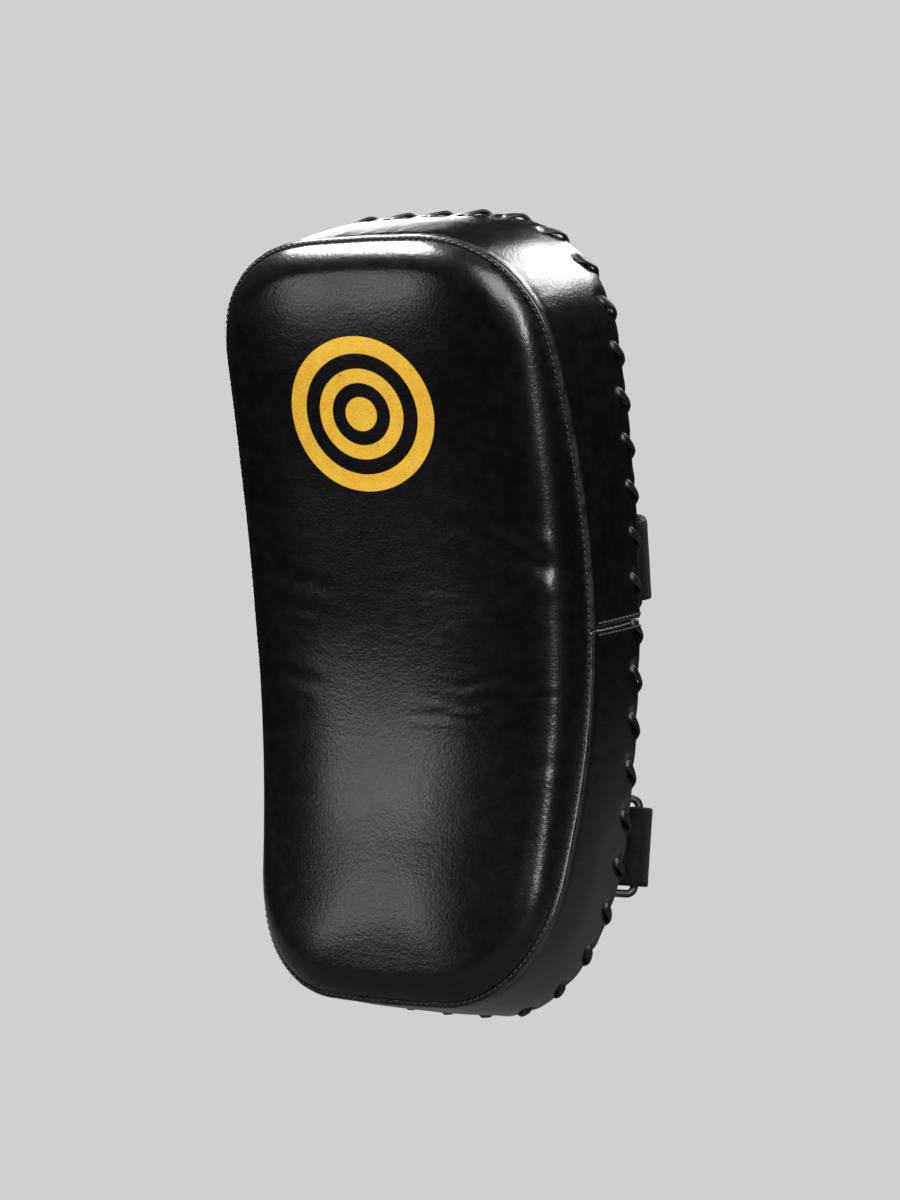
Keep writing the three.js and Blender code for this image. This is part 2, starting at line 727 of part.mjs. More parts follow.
function gripCore() {
  const halfWidth = GRIP_STRAP_WIDTH / 2 + GAP;
  const halfHeight = GRIP_STRAP_THICKNESS / 2 + GAP;
  const slot = new THREE.Path([
    new THREE.Vector2(-halfWidth, -halfHeight),
    new THREE.Vector2(halfWidth, -halfHeight),
    new THREE.Vector2(halfWidth, halfHeight),
    new THREE.Vector2(-halfWidth, halfHeight),
  ]);
  const radius = GRIP_SLEEVE_RADIUS - GRIP_SLEEVE_LEATHER - GAP;
  const core = gripTube(radius, GRIP_SLEEVE_LENGTH - 2 * GRIP_CORE_RECESS, slot);
  return piece('grip_core', core, FINISH.foam);
}

function gripSleeve() {
  const bore = new THREE.Path();
  bore.absarc(0, 0, GRIP_SLEEVE_RADIUS - GRIP_SLEEVE_LEATHER, 0, 2 * Math.PI);
  return piece('grip_sleeve', gripTube(GRIP_SLEEVE_RADIUS, GRIP_SLEEVE_LENGTH, bore), FINISH.trim);
}

// ---------------------------------------------------------------- one forearm strap

const ringEnd = (barX) => ({
  x: barX + RING.reach * Math.cos(RING_LEAN),
  y: RING_BAR_HEIGHT + RING.reach * Math.sin(RING_LEAN),
});

// The strap's arch: an ellipse from upright at its left to the ring's outer bar.
function archOf({ barX, leftX, top }) {
  const end = ringEnd(barX);
  const endX = end.x - TURN_RADIUS;
  const endY = end.y + TURN_SHANK + TURN_JOINT;
  const rise = top - ARCH_SPRING;
  const from = Math.asin((endY - ARCH_SPRING) / rise);
  const radius = (endX - leftX) / (1 + Math.cos(from));
  const fromDegrees = THREE.MathUtils.radToDeg(from);
  return { centre: leftX + radius, radius, rise, from: fromDegrees };
}

// A stretch of the arch between two angles, standing off its middle line.
function archLine(arch, offset, from, to, steps) {
  const line = arc(arch.centre, ARCH_SPRING, arch.radius, arch.rise, from, to, steps);
  return line.map((point) => {
    const normal = new THREE.Vector2(
      (point.x - arch.centre) / arch.radius ** 2,
      (point.y - ARCH_SPRING) / arch.rise ** 2,
    ).normalize();
    return point.addScaledVector(normal, offset);
  });
}

function strap(name, station) {
  const arch = archOf(station);
  const middle = GAP + STRAP_THICKNESS / 2;
  const bendRadius = ARCH_SPRING - middle;
  const centreX = station.leftX + bendRadius;
  const line = [
    new THREE.Vector2(STRAP_END_X, middle),
    ...arc(centreX, ARCH_SPRING, bendRadius, bendRadius, 270, 180, STRAP_BEND_STEPS).slice(0, -1),
    ...archLine(arch, 0, 180, arch.from, ARCH_STEPS),
  ];
  const holes = holePair(STRAP_RIVET.x, STRAP_RIVET.z, STRAP_RIVET.cutTop);
  return piece(name, cut(band(line, STRAP_THICKNESS, STRAP_WIDTH), holes), FINISH.webbing);
}

function strapTurn(name, { barX }) {
  const { x, y } = ringEnd(barX);
  const line = [
    new THREE.Vector2(x - TURN_RADIUS, y + TURN_SHANK),
    ...arc(x, y, TURN_RADIUS, TURN_RADIUS, 180, 360, STRAP_TURN_STEPS),
    new THREE.Vector2(x + TURN_RADIUS, y + TURN_SHANK),
  ];
  return piece(name, band(line, STRAP_THICKNESS, STRAP_WIDTH), FINISH.webbing);
}

const LOOPS_OFFSET = STRAP_THICKNESS / 2 + GAP + PATCH_THICKNESS / 2;
const HOOKS_OFFSET = LOOPS_OFFSET + PATCH_THICKNESS + PATCH_AIR;
const FLAP_OFFSET = HOOKS_OFFSET + PATCH_THICKNESS / 2 + GAP + STRAP_THICKNESS / 2;

function strapFlap(name, station) {
  const { x, y } = ringEnd(station.barX);
  const line = [
    new THREE.Vector2(x + TURN_RADIUS, y + TURN_SHANK + TURN_JOINT),
    ...archLine(archOf(station), FLAP_OFFSET, FLAP_FROM, FLAP_TO, FLAP_STEPS),
  ];
  return piece(name, band(line, STRAP_THICKNESS, STRAP_WIDTH), FINISH.webbing);
}

function patch(name, station, offset, from, to) {
  const line = archLine(archOf(station), offset, from, to, PATCH_STEPS);
  return piece(name, band(line, PATCH_THICKNESS, PATCH_WIDTH), FINISH.pile);
}

function roundedRectangle(target, left, right, halfHeight, corner) {
  target.moveTo(left + corner, -halfHeight);
  target.absarc(right - corner, -halfHeight + corner, corner, -Math.PI / 2, 0);
  target.absarc(right - corner, halfHeight - corner, corner, 0, Math.PI / 2);
  target.absarc(left + corner, halfHeight - corner, corner, Math.PI / 2, Math.PI);
  target.absarc(left + corner, -halfHeight + corner, corner, Math.PI, 1.5 * Math.PI);
  return target;
}

function ring(name, barX) {
  const half = RING.bar / 2;
  const halfLength = RING.length / 2;
  const shape = roundedRectangle(new THREE.Shape(), -half, RING.reach + half, halfLength, RING.corner);
  const window = roundedRectangle(
    new THREE.Path(), half, RING.reach - half, halfLength - RING.bar, RING.corner - RING.bar,
  );
  shape.holes.push(window);
  const geometry = new THREE.ExtrudeGeometry(shape, {
    depth: RING.thickness - 2 * RING.bevel, curveSegments: RING_CURVE_STEPS, bevelSegments: 1,
    bevelThickness: RING.bevel, bevelSize: RING.bevel, bevelOffset: -RING.bevel,
  });
  geometry.translate(0, 0, -RING.thickness / 2 + RING.bevel).rotateX(Math.PI / 2);
  const mesh = piece(name, geometry, FINISH.plastic);
  mesh.position.set(barX, RING_BAR_HEIGHT, 0);
  mesh.rotation.z = RING_LEAN;
  return mesh;
}

// Leather folded round the ring's inner bar and riveted to the back panel.
function ringTab(name, barX) {
  const { inner, loop, bore, leave, thickness, width, rivetX, rivetZ, cutTop } = RING_TAB;
  const shape = new THREE.Shape();
  shape.moveTo(inner, GAP);
  shape.lineTo(barX, RING_BAR_HEIGHT - loop);
  shape.absarc(barX, RING_BAR_HEIGHT, loop, -Math.PI / 2, leave);
  shape.lineTo(barX - 2 * loop, thickness + GAP);
  shape.lineTo(inner, thickness + GAP);
  const hole = new THREE.Path();
  hole.absarc(barX, RING_BAR_HEIGHT, bore, 0, 2 * Math.PI);
  shape.holes.push(hole);
  const geometry = new THREE.ExtrudeGeometry(shape, {
    depth: width, bevelEnabled: false, curveSegments: ROUND_STEPS,
  });
  geometry.translate(0, 0, -width / 2);
  return piece(name, cut(geometry, holePair(rivetX, rivetZ, cutTop)), FINISH.trim);
}

function strapStation(station, place) {
  const group = seat(place.height);
  group.add(
    ringTab(`${station}_ring_tab`, place.barX),
    ring(`${station}_ring`, place.barX),
    strap(`${station}_strap`, place),
    strapTurn(`${station}_strap_turn`, place),
    strapFlap(`${station}_strap_flap`, place),
    patch(`${station}_hook_patch`, place, HOOKS_OFFSET, HOOKS_FROM, HOOKS_TO),
    patch(`${station}_loop_patch`, place, LOOPS_OFFSET, LOOPS_FROM, LOOPS_TO),
  );
  return group;
}

// ---------------------------------------------------------------- assembly

const pad = new THREE.Group();
pad.position.y = -CUSHION_REST; // the origin is in the flat face that lies on the forearm

const laceCutter = lace(LACE_RADIUS + LACE_CLEARANCE);
const backHoles = rivetCutters(RIVET_HOLE_RADIUS, LEATHER + RIVET_HOLE_MARGIN);
const foamPockets = rivetCutters(RIVET_POCKET_RADIUS, RIVET_POCKET_DEPTH);

pad.add(
  piece('front_panel', frontPanel(), FINISH.shell),
  piece('gusset_upper', cut(gusset(gussetIndices(true)), [laceCutter]), FINISH.shell),
  piece('gusset_lower', cut(gusset(gussetIndices(false)), [laceCutter]), FINISH.shell),
  piece('back_panel', cut(backPanel(), [laceCutter, ...backHoles]), FINISH.shell),
  piece('rim_lace', lace(LACE_RADIUS), FINISH.lace),
  piece('front_foam', frontFoam(), FINISH.foam),
  piece('middle_foam', middleFoam(), FINISH.foam),
  piece('rear_foam', cut(rearFoam(), foamPockets), FINISH.foam),
  piece('forearm_cover', cushionCover(), FINISH.shell),
  piece('forearm_foam', cushionFoam(), FINISH.foam),
);

const grip = seat(GRIP_HEIGHT_ON_PAD);
grip.add(gripTab(-1), gripTab(1), gripStrap(), gripCore(), gripSleeve());
pad.add(grip);

Object.entries(STRAP_STATIONS).forEach(([station, place]) => pad.add(strapStation(station, place)));

rivetPlan().forEach((entry) => {
  const place = seat(entry.seat);
  place.add(rivet(entry.name, entry.x, entry.z, entry.top));
  pad.add(place);
});

export default pad;
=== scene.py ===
"""A curved Thai pad for the forearm: its leather, lacing, padding, straps and studio.

The CAD frame is loaded first and stays as it is. Each soft piece is built here as a fine
mesh where its plain CAD solid is, and rides on the same body.

The pad is drawn flat and then bent. Flat, a point has x (across), s (up the pad) and n
(depth, growing toward the back). Bending rolls s and n round a cylinder whose axis lies in
front of the striking face. Shapes are worked out in millimetres and given to Blender in metres.
"""

import math

import bmesh
import bpy
import numpy as np
from mathutils import Matrix, Vector
from mathutils.bvhtree import BVHTree

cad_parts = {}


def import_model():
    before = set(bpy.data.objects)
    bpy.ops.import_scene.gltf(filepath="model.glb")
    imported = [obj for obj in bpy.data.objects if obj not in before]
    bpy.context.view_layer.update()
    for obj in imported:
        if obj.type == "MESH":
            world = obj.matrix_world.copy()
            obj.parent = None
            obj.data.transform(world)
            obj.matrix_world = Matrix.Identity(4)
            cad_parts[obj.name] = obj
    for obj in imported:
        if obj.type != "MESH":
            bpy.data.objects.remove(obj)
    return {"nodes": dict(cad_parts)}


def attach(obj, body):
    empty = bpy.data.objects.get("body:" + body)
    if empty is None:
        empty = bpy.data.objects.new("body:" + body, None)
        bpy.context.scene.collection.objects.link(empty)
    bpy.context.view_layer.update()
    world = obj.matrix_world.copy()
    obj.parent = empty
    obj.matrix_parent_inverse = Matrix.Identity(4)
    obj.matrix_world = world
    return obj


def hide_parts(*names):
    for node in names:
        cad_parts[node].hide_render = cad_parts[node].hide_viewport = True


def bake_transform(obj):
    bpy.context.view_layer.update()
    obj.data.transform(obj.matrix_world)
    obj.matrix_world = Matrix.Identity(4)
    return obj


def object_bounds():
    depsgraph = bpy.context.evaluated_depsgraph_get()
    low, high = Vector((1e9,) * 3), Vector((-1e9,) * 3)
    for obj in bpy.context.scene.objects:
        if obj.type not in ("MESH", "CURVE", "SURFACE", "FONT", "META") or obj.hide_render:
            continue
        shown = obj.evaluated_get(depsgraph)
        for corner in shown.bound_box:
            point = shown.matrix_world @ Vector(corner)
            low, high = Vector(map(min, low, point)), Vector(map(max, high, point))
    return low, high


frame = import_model()
CAD_LOW, CAD_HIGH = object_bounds()

# ------------------------------------------------------------------ driving dimensions

MM = 0.001
REST = 47.0  # the forearm face's distance behind the pad's middle

# the pad's curve, its two outlines and its depths
BEND_UPPER = 800.0
BEND_LOWER = 485.0
CORNER_POWER = 2 / 2.4
SIDE_BOW = 7.7
END_BOW = 5.0
FRONT = {"width": 85.5, "length": 197.4, "taper": 0.059, "top": (59, 59), "bottom": (54, 66)}
RIM = {"width": 85.5, "length": 189.0, "taper": 0.085, "top": (59, 59), "bottom": (60, 80)}
SIDE_HEIGHTS = (-74.0, -4.0, 67.0)  # of both outlines; the side pieces meet at the middle one
SEAM_DEPTH_MIDDLE = -15.0
SEAM_DEPTH_ENDS = -31.7
SEAM_SPAN = 200.0
FACE_DEPTH = -45.5
FACE_SLOPE = math.radians(14)  # how steeply the face leaves its shoulder
SHOULDER = 21.0
RIM_DEPTH = 36.0
LEATHER = 1.8
BACK_INSET = 2.3
SPINE = 112.0  # half the length of the line that the face's rings shrink to

# the rows near a leather's edge: how far back or in, and how far they stand off
PANEL_TUCK = ((2.4, -3.2), (1.1, -1.7), (0.2, -0.7))
GUSSET_RIDGE = (
    (-1.4, -3.0), (-1.3, -1.3), (-0.9, 0.2), (-0.2, 1.0), (0.7, 1.45),
    (1.7, 1.4), (2.6, 0.9), (3.4, 0.4), (4.4, 0.1),
)
GUSSET_EDGE = ((0.45, -0.08), (0.1, -0.35), (0.0, -0.7))
BACK_EDGE = ((0.0, -0.8), (0.2, -0.3), (0.7, -0.06))
BACK_ROWS = (1.5, 2.6, 4.0, 5.5, 7.0, 8.5, 10.0, 12.0, 14.0)  # flat rows further in

# the loop round an outline: 0 and 10 at the middle of the lower end, 5 at the upper end's
LOOP = 10.0
SEAM_RIGHT = 2.5
SEAM_LEFT = 7.5

# whip lace
STITCHES = 46
SLANT = 16.0
LACE_HALF_WIDTH = 2.1
LACE_HALF_THICKNESS = 1.0
HOLE_FROM_RIM = 7.0
HOLE_FROM_EDGE = 8.0
# one turn: distance on from the side hole, stand-off from the wall, depth from the rim
LACE_TURN = (
    (0.0, -4.5, -7.0),
    (0.2, -1.6, -7.3),
    (1.6, 0.1, -6.3),
    (4.6, 0.75, -2.8),
    (7.4, 0.35, 0.2),
    (10.2, -1.7, 1.05),
    (13.2, -5.0, 0.8),
    (15.2, -7.2, -0.4),
    (16.0, -8.2, -4.2),
)
LACE_INSIDE = (-5.6, -7.0)  # stand-off and depth half way to the next side hole
LACE_CORE = -4.6  # the lace winds round a line this far in and forward

# forearm cushion
CUSHION_HALF_WIDTH = 42.0
CUSHION_TOP = 62.0
CUSHION_BOTTOM = -150.0
CUSHION_CORNER = 20.0
CUSHION_HEIGHT = 11.0
CUSHION_BASE = RIM_DEPTH + 0.5
CUSHION_SLACK = 1.6  # how far below its full height the cloth starts
CUSHION_SPINE = 72.0
CUSHION_BORDER = 7.5  # how far in from the edge it is sewn down
CUSHION_CHANNEL = -52.0  # the height of the channel sewn across it
# the rows of its sides: inset, and share of its height
CUSHION_SIDES = ((1.2, 0.0), (0.2, 0.12), (0.0, 0.35), (0.3, 0.6), (1.4, 0.8), (3.2, 0.92), (5.5, 1.0))
WELT_RADIUS = 1.5
REST_HALF_LENGTH = 30.0

# hand grip
GRIP_SEAT = 112.0
GRIP_AXIS = 52.0
GRIP_RISER = 60.0
GRIP_BEND = 10.0
GRIP_STRAP_HALF_WIDTH = 13.0
GRIP_STRAP_THICKNESS = 3.0
SLEEVE_RADIUS = 15.5
SLEEVE_HALF_LENGTH = 49.0
TAB_OUTER = 83.0
TAB_HALF_WIDTH = 21.0
TAB_CORNER = 6.0
TAB_RIVET = (73.0, 11.0)

# a rivet's profile: radius and height, below the back panel's face and above what it clamps
RIVET_TAIL = ((0.05, -3.9), (3.9, -3.9), (4.2, -3.5), (4.2, -3.0), (1.6, -2.9))
RIVET_HEAD = (
    (1.6, 0.0), (4.3, 0.0), (4.65, 0.25), (4.6, 0.6), (4.2, 0.85), (3.9, 0.95),
    (3.4, 1.35), (2.6, 1.7), (1.7, 1.88), (1.2, 1.86), (0.7, 1.66), (0.05, 1.6),
)

# forearm straps
STRAP_HALF_WIDTH = 20.0
STRAP_THICKNESS = 2.6
STATIONS = {
    "lower": {"height": -110.0, "bar": 68.0, "left": -76.0, "top": 72.0},
    "upper": {"height": 21.0, "bar": 68.0, "left": -77.0, "top": 66.0},
}
GAP = 0.3
ARCH_SPRING = 12.0
STRAP_END = -51.0
STRAP_RIVET = (-59.0, 11.0)
BAR_HEIGHT = 5.4
RING_LEAN = math.radians(46)
RING_REACH = 19.6
RING_BAR = (4.0, 3.4)
RING_HALF_LENGTH = 26.0
RING_CORNER = 4.0
RING_TAB = {"inner": 45.0, "loop": 5.1, "leave": 118.0, "thickness": 4.6, "half_width": 20.0}
TAB_LEATHER = 2.1
RING_RIVET = (53.0, 11.0)
TURN_RADIUS = 4.3
TURN_SHANK = 3.0
TURN_JOINT = 1.1
PATCH_THICKNESS = 1.2
PATCH_HALF_WIDTH = 18.0
PATCH_AIR = 0.5
FLAP_CORNER = 7.0
FLAP_DEGREES = (18, 80)
HOOK_DEGREES = (38, 78)
LOOP_DEGREES = (32, 96)

# print on the striking face: rings round a dot, as inner and outer radii
PRINT_CENTRE = (-4.0, 114.0)
PRINT_BANDS = ((0.0, 9.0), (16.5, 24.0), (32.0, 41.0))

# ------------------------------------------------------------------ numbers and noise


def smooth(value, low, high):
    """0 below low, 1 above high, and an even turn between them."""
    t = np.clip((value - low) / (high - low), 0, 1)
    return t * t * (3 - 2 * t)


def lerp(a, b, t):
    return a + (b - a) * t


def hump(distance, width):
    return np.exp(-((distance / width) ** 2))


class Noise:
    """Smooth noise from -1 to 1 over a plane, the same on each run."""

    SIZE = 64

    def __init__(self, seed):
        self.table = np.random.default_rng(seed).uniform(-1, 1, (self.SIZE, self.SIZE))

    def __call__(self, x, y):
        x, y = np.broadcast_arrays(np.asarray(x, float), np.asarray(y, float))
        left, low = np.floor(x).astype(int), np.floor(y).astype(int)
        tx, ty = smooth(x - left, 0, 1), smooth(y - low, 0, 1)

        def corner(i, j):
            return self.table[(left + i) % self.SIZE, (low + j) % self.SIZE]

        lower = lerp(corner(0, 0), corner(1, 0), tx)
        upper = lerp(corner(0, 1), corner(1, 1), tx)
        return lerp(lower, upper, ty)


# ------------------------------------------------------------------ the bent pad


def bend(x, s, n):
    x, s, n = np.broadcast_arrays(*(np.asarray(v, float) for v in (x, s, n)))
    radius = np.where(s > 0, BEND_UPPER, BEND_LOWER)
    angle = s / radius
    y = (radius + n) * np.cos(angle) - radius - REST
    return np.stack([x, y, (radius + n) * np.sin(angle)], axis=-1)


def outward(s):
    """The direction in which n grows, at the height s."""
    angle = s / np.where(s > 0, BEND_UPPER, BEND_LOWER)
    return np.stack([np.zeros_like(angle), np.cos(angle), np.sin(angle)], axis=-1)


def outline(shape, u, inset=0.0):
    """x and s of an outline, drawn in by inset, at the places u round it."""
    u, inset = np.broadcast_arrays(np.asarray(u, float) % LOOP, np.asarray(inset, float))
    side = np.where(u <= LOOP / 2, 1.0, -1.0)
    q = np.where(u <= LOOP / 2, u, LOOP - u)
    width, length = shape["width"] - inset, shape["length"] - inset
    (top_x, top_s), (low_x, low_s) = (
        [corner - inset for corner in shape[end]] for end in ("top", "bottom")
    )
    low_turn = np.clip(2 - q, 0, 1) * np.pi / 2
    top_turn = np.clip(q - 3, 0, 1) * np.pi / 2
    sides = (-(shape["length"] - shape["bottom"][1]), *SIDE_HEIGHTS, shape["length"] - shape["top"][1])
    stretches = [q < 1, q < 2, q < 3, q < 4]
    x = np.select(
        stretches,
        [
            (width - low_x) * q,
            width - low_x + low_x * np.cos(low_turn) ** CORNER_POWER,
            width,
            width - top_x + top_x * np.cos(top_turn) ** CORNER_POWER,
        ],
        (width - top_x) * (5 - q),
    )
    s = np.select(
        stretches,
        [
            -length,
            -(length - low_s + low_s * np.sin(low_turn) ** CORNER_POWER),
            np.interp(q, np.linspace(2, 3, len(sides)), sides),
            length - top_s + top_s * np.sin(top_turn) ** CORNER_POWER,
        ],
        length,
    )
    bowed = x * (1 + SIDE_BOW / width * (1 - (s / length) ** 2))
    height = s * (1 + END_BOW / length * (1 - (x / width) ** 2))
    return side * bowed * (1 + shape["taper"] * height / length), height


# distance along the rim for places u over two turns, so that a stretch may pass the start
TABLE_U = np.linspace(0, 2 * LOOP, 8001)
TABLE_STEPS = np.hypot(*(np.diff(axis) for axis in outline(RIM, TABLE_U)))
TABLE_D = np.concatenate([[0], np.cumsum(TABLE_STEPS)])
RIM_LENGTH = TABLE_D[-1] / 2
PITCH = RIM_LENGTH / STITCHES


def spaced(start, end, count):
    """Places round the loop from start to end, at equal steps along the rim."""
    first, last = np.interp([start, end], TABLE_U, TABLE_D)
    return np.interp(np.linspace(first, last, count), TABLE_D, TABLE_U)


def along_rim(u):
    return np.interp(u, TABLE_U, TABLE_D)


def place_of(distance):
    """The place round the loop at a distance along the rim, clockwise seen from the front."""
    return np.interp((2 * RIM_LENGTH - distance) % RIM_LENGTH, TABLE_D, TABLE_U)


def lace_phase(u):
    """How far round from the last lace hole a place is, from 0 to 1."""
    return ((RIM_LENGTH - along_rim(np.asarray(u) % LOOP)) / PITCH) % 1


def seam_depth(u):
    _, s = outline(FRONT, u)
    along = np.minimum(1, np.abs(s) / SEAM_SPAN) ** 2
    return lerp(SEAM_DEPTH_MIDDLE, SEAM_DEPTH_ENDS, along * (2 - along))


def seam_turn(u):
    return np.arcsin(np.clip((FACE_DEPTH + SHOULDER - seam_depth(u)) / SHOULDER, 0, 1))


def shoulder(u, turn, out=0.0):
    radius = SHOULDER + out
    x, s = outline(FRONT, u, SHOULDER - radius * np.cos(turn))
    return x, s, FACE_DEPTH + SHOULDER - radius * np.sin(turn)


def wall(u, depth, out=0.0):
    """A flat point of the side wall at a depth, standing off it by out."""
    first_x, first_s, _ = shoulder(u, seam_turn(u), out)
    last_x, last_s = outline(RIM, u, -np.asarray(out, float))
    fraction = (depth - seam_depth(u)) / (RIM_DEPTH - seam_depth(u))
    return lerp(first_x, last_x, fraction), lerp(first_s, last_s, fraction), depth


def rim_point(distance, out, depth):
    """A bent point near the rim. depth counts from the rim, forward when negative."""
    u = place_of(distance)
    behind = (*outline(RIM, u, -out), RIM_DEPTH + depth)
    beside = wall(u, RIM_DEPTH + depth, out)
    return bend(*(np.where(depth > 0, b, w) for b, w in zip(behind, beside)))


# ------------------------------------------------------------------ meshes


def grid_faces(rows, columns, wrap):
    r = np.arange(rows - 1)[:, None]
    c = np.arange(columns if wrap else columns - 1)[None, :]
    here, right = r * columns + c, r * columns + (c + 1) % columns
    return np.stack([here, right, right + columns, here + columns], axis=-1).reshape(-1, 4)


def grid_normals(grid, wrap):
    if wrap:
        padded = np.concatenate([grid[:, -1:], grid, grid[:, :1]], axis=1)
        across = np.gradient(padded, axis=1)[:, 1:-1]
    else:
        across = np.gradient(grid, axis=1)
    normals = np.cross(np.gradient(grid, axis=0), across)
    lengths = np.linalg.norm(normals, axis=-1, keepdims=True)
    return normals / np.maximum(lengths, 1e-9)


def make(name, points, faces, material, slot, **attributes):
    """A closed smooth mesh from points in millimetres. Attributes have a value for each point."""
    mesh = bpy.data.meshes.new(name)
    mesh.from_pydata((np.asarray(points) * MM).tolist(), [], [tuple(f) for f in faces])
    for key, values in attributes.items():
        values = np.asarray(values, np.float32)
        if values.ndim == 2:
            layer = mesh.attributes.new(key, "FLOAT_VECTOR", "POINT")
            layer.data.foreach_set("vector", values.ravel())
        else:
            layer = mesh.attributes.new(key, "FLOAT", "POINT")
            layer.data.foreach_set("value", values)
    work = bmesh.new()
    work.from_mesh(mesh)
    bmesh.ops.remove_doubles(work, verts=work.verts, dist=0.01 * MM)
    bmesh.ops.recalc_face_normals(work, faces=work.faces)
    for face in work.faces:
        face.smooth = True
    work.to_mesh(mesh)
    work.free()
    mesh.materials.append(material)
    piece = bpy.data.objects.new(name, mesh)
    bpy.context.scene.collection.objects.link(piece)
    return piece


def skin(grid, normals, thickness, wrap, closed_end):
    """Points and faces of a sheet of leather. closed_end says that its last row is a shut line."""
    rows, columns = grid.shape[:2]
    count = rows * columns
    points = np.concatenate([grid.reshape(-1, 3), (grid - normals * thickness).reshape(-1, 3)])
    outside = grid_faces(rows, columns, wrap)
    faces = [outside, outside[:, ::-1] + count]
    across = np.arange(columns)
    edges = [across] if closed_end else [across, across + count - columns]
    loops = [np.append(edge, edge[0]) if wrap else edge for edge in edges]
    if not wrap:
        down = np.arange(rows) * columns
        loops += [down, down + columns - 1]
    for loop in loops:
        faces.append(np.stack([loop[:-1], loop[1:], loop[1:] + count, loop[:-1] + count], axis=-1))
    return points, np.concatenate(faces)


def facing_out(grid, normals):
    """The normals turned to point away from the middle of the pad."""
    away = grid - np.array([0, -REST, 0])
    return normals * np.sign(np.mean(np.sum(normals * away, axis=-1)))


def tube(sections):
    """Points and faces of closed sections joined one after the other, with both ends shut."""
    rows, columns = sections.shape[:2]
    faces = [tuple(face) for face in grid_faces(rows, columns, wrap=True)]
    faces.append(tuple(range(columns)))
    faces.append(tuple(range((rows - 1) * columns, rows * columns)))
    return sections.reshape(-1, 3), faces


def unit(vectors):
    return vectors / np.maximum(np.linalg.norm(vectors, axis=-1, keepdims=True), 1e-9)


def run_length(points):
    """The distance along a line at each of its points."""
    return np.concatenate([[0], np.cumsum(np.linalg.norm(np.diff(points, axis=0), axis=1))])


def sample(at, distance, points):
    """Points of a line at the distances at."""
    return np.stack([np.interp(at, distance, axis) for axis in points.T], axis=-1)


def flowing(points, steps):
    """A smooth line through points, with a number of steps between each two."""
    ends = np.concatenate([2 * points[:1] - points[1:2], points, 2 * points[-1:] - points[-2:-1]])
    a, b, c, d = ends[:-3], ends[1:-2], ends[2:-1], ends[3:]
    t = (np.arange(steps) / steps)[None, :, None]
    a, b, c, d = (p[:, None, :] for p in (a, b, c, d))
    square, cube = 2 * a - 5 * b + 4 * c - d, 3 * b - a - 3 * c + d
    line = 0.5 * (2 * b + (c - a) * t + square * t**2 + cube * t**3)
    return np.concatenate([line.reshape(-1, points.shape[1]), points[-1:]])


def sweep(line, ups, half_width, half_thickness, sides=12):
    """Sections of a flat strand that follows line, with its thickness toward ups."""
    along = unit(np.gradient(line, axis=0))
    across = unit(np.cross(along, ups))
    rise = np.cross(across, along)
    angle = 2 * np.pi * np.arange(sides) / sides
    wide = np.sign(np.cos(angle)) * np.abs(np.cos(angle)) ** 0.8
    high = np.sign(np.sin(angle)) * np.abs(np.sin(angle)) ** 0.8
    return (
        line[:, None]
        + across[:, None] * (half_width * wide)[None, :, None]
        + rise[:, None] * (half_thickness * high)[None, :, None]
    )


def sewing(points, ups, pitch, radius=0.42, share=0.74, lift=0.12):
    """Points and faces of a row of stitches along a fine line of points on a surface."""
    distance = run_length(points)
    count = max(1, int(distance[-1] / pitch))
    step = distance[-1] / count
    arch = np.linspace(0, 1, 6)
    rise = (np.sin(np.pi * arch) - 0.55) * radius + lift
    stitches = []
    for stitch in range(count):
        at = (stitch + 0.5 + (arch - 0.5) * share) * step
        up = unit(sample(at, distance, ups))
        line = sample(at, distance, points) + up * rise[:, None]
        stitches.append(tube(sweep(line, up, radius, radius, sides=6)))
    return joined(stitches)


def joined(parts):
    """Several sets of points and faces as one."""
    points, faces, base = [], [], 0
    for some_points, some_faces in parts:
        points.append(some_points)
        faces += [tuple(int(i) + base for i in face) for face in some_faces]
        base += len(some_points)
    return np.concatenate(points), faces


def hoop(sections):
    """Points and faces of sections whose last is the first again."""
    return sections.reshape(-1, 3), grid_faces(*sections.shape[:2], wrap=True)


def stitched(name, rows, slot):
    """One piece of thread from rows of stitches."""
    return make(name, *joined(rows), THREAD, slot)


def leather_sheet(node, grid, normals, material, rubbed, wrap=True, closed_end=True):
    """A sheet of the shell, in place of its CAD solid."""
    points, faces = skin(grid, normals, LEATHER, wrap, closed_end)
    rubbed = np.tile(rubbed.ravel(), 2)
    piece = make(f"{node}_leather", points, faces, material, "shell_leather", rubbed=rubbed)
    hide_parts(node)
    return piece


# ------------------------------------------------------------------ materials


def socket_name(key):
    return key.replace("_", " ").title().replace("Ior", "IOR")


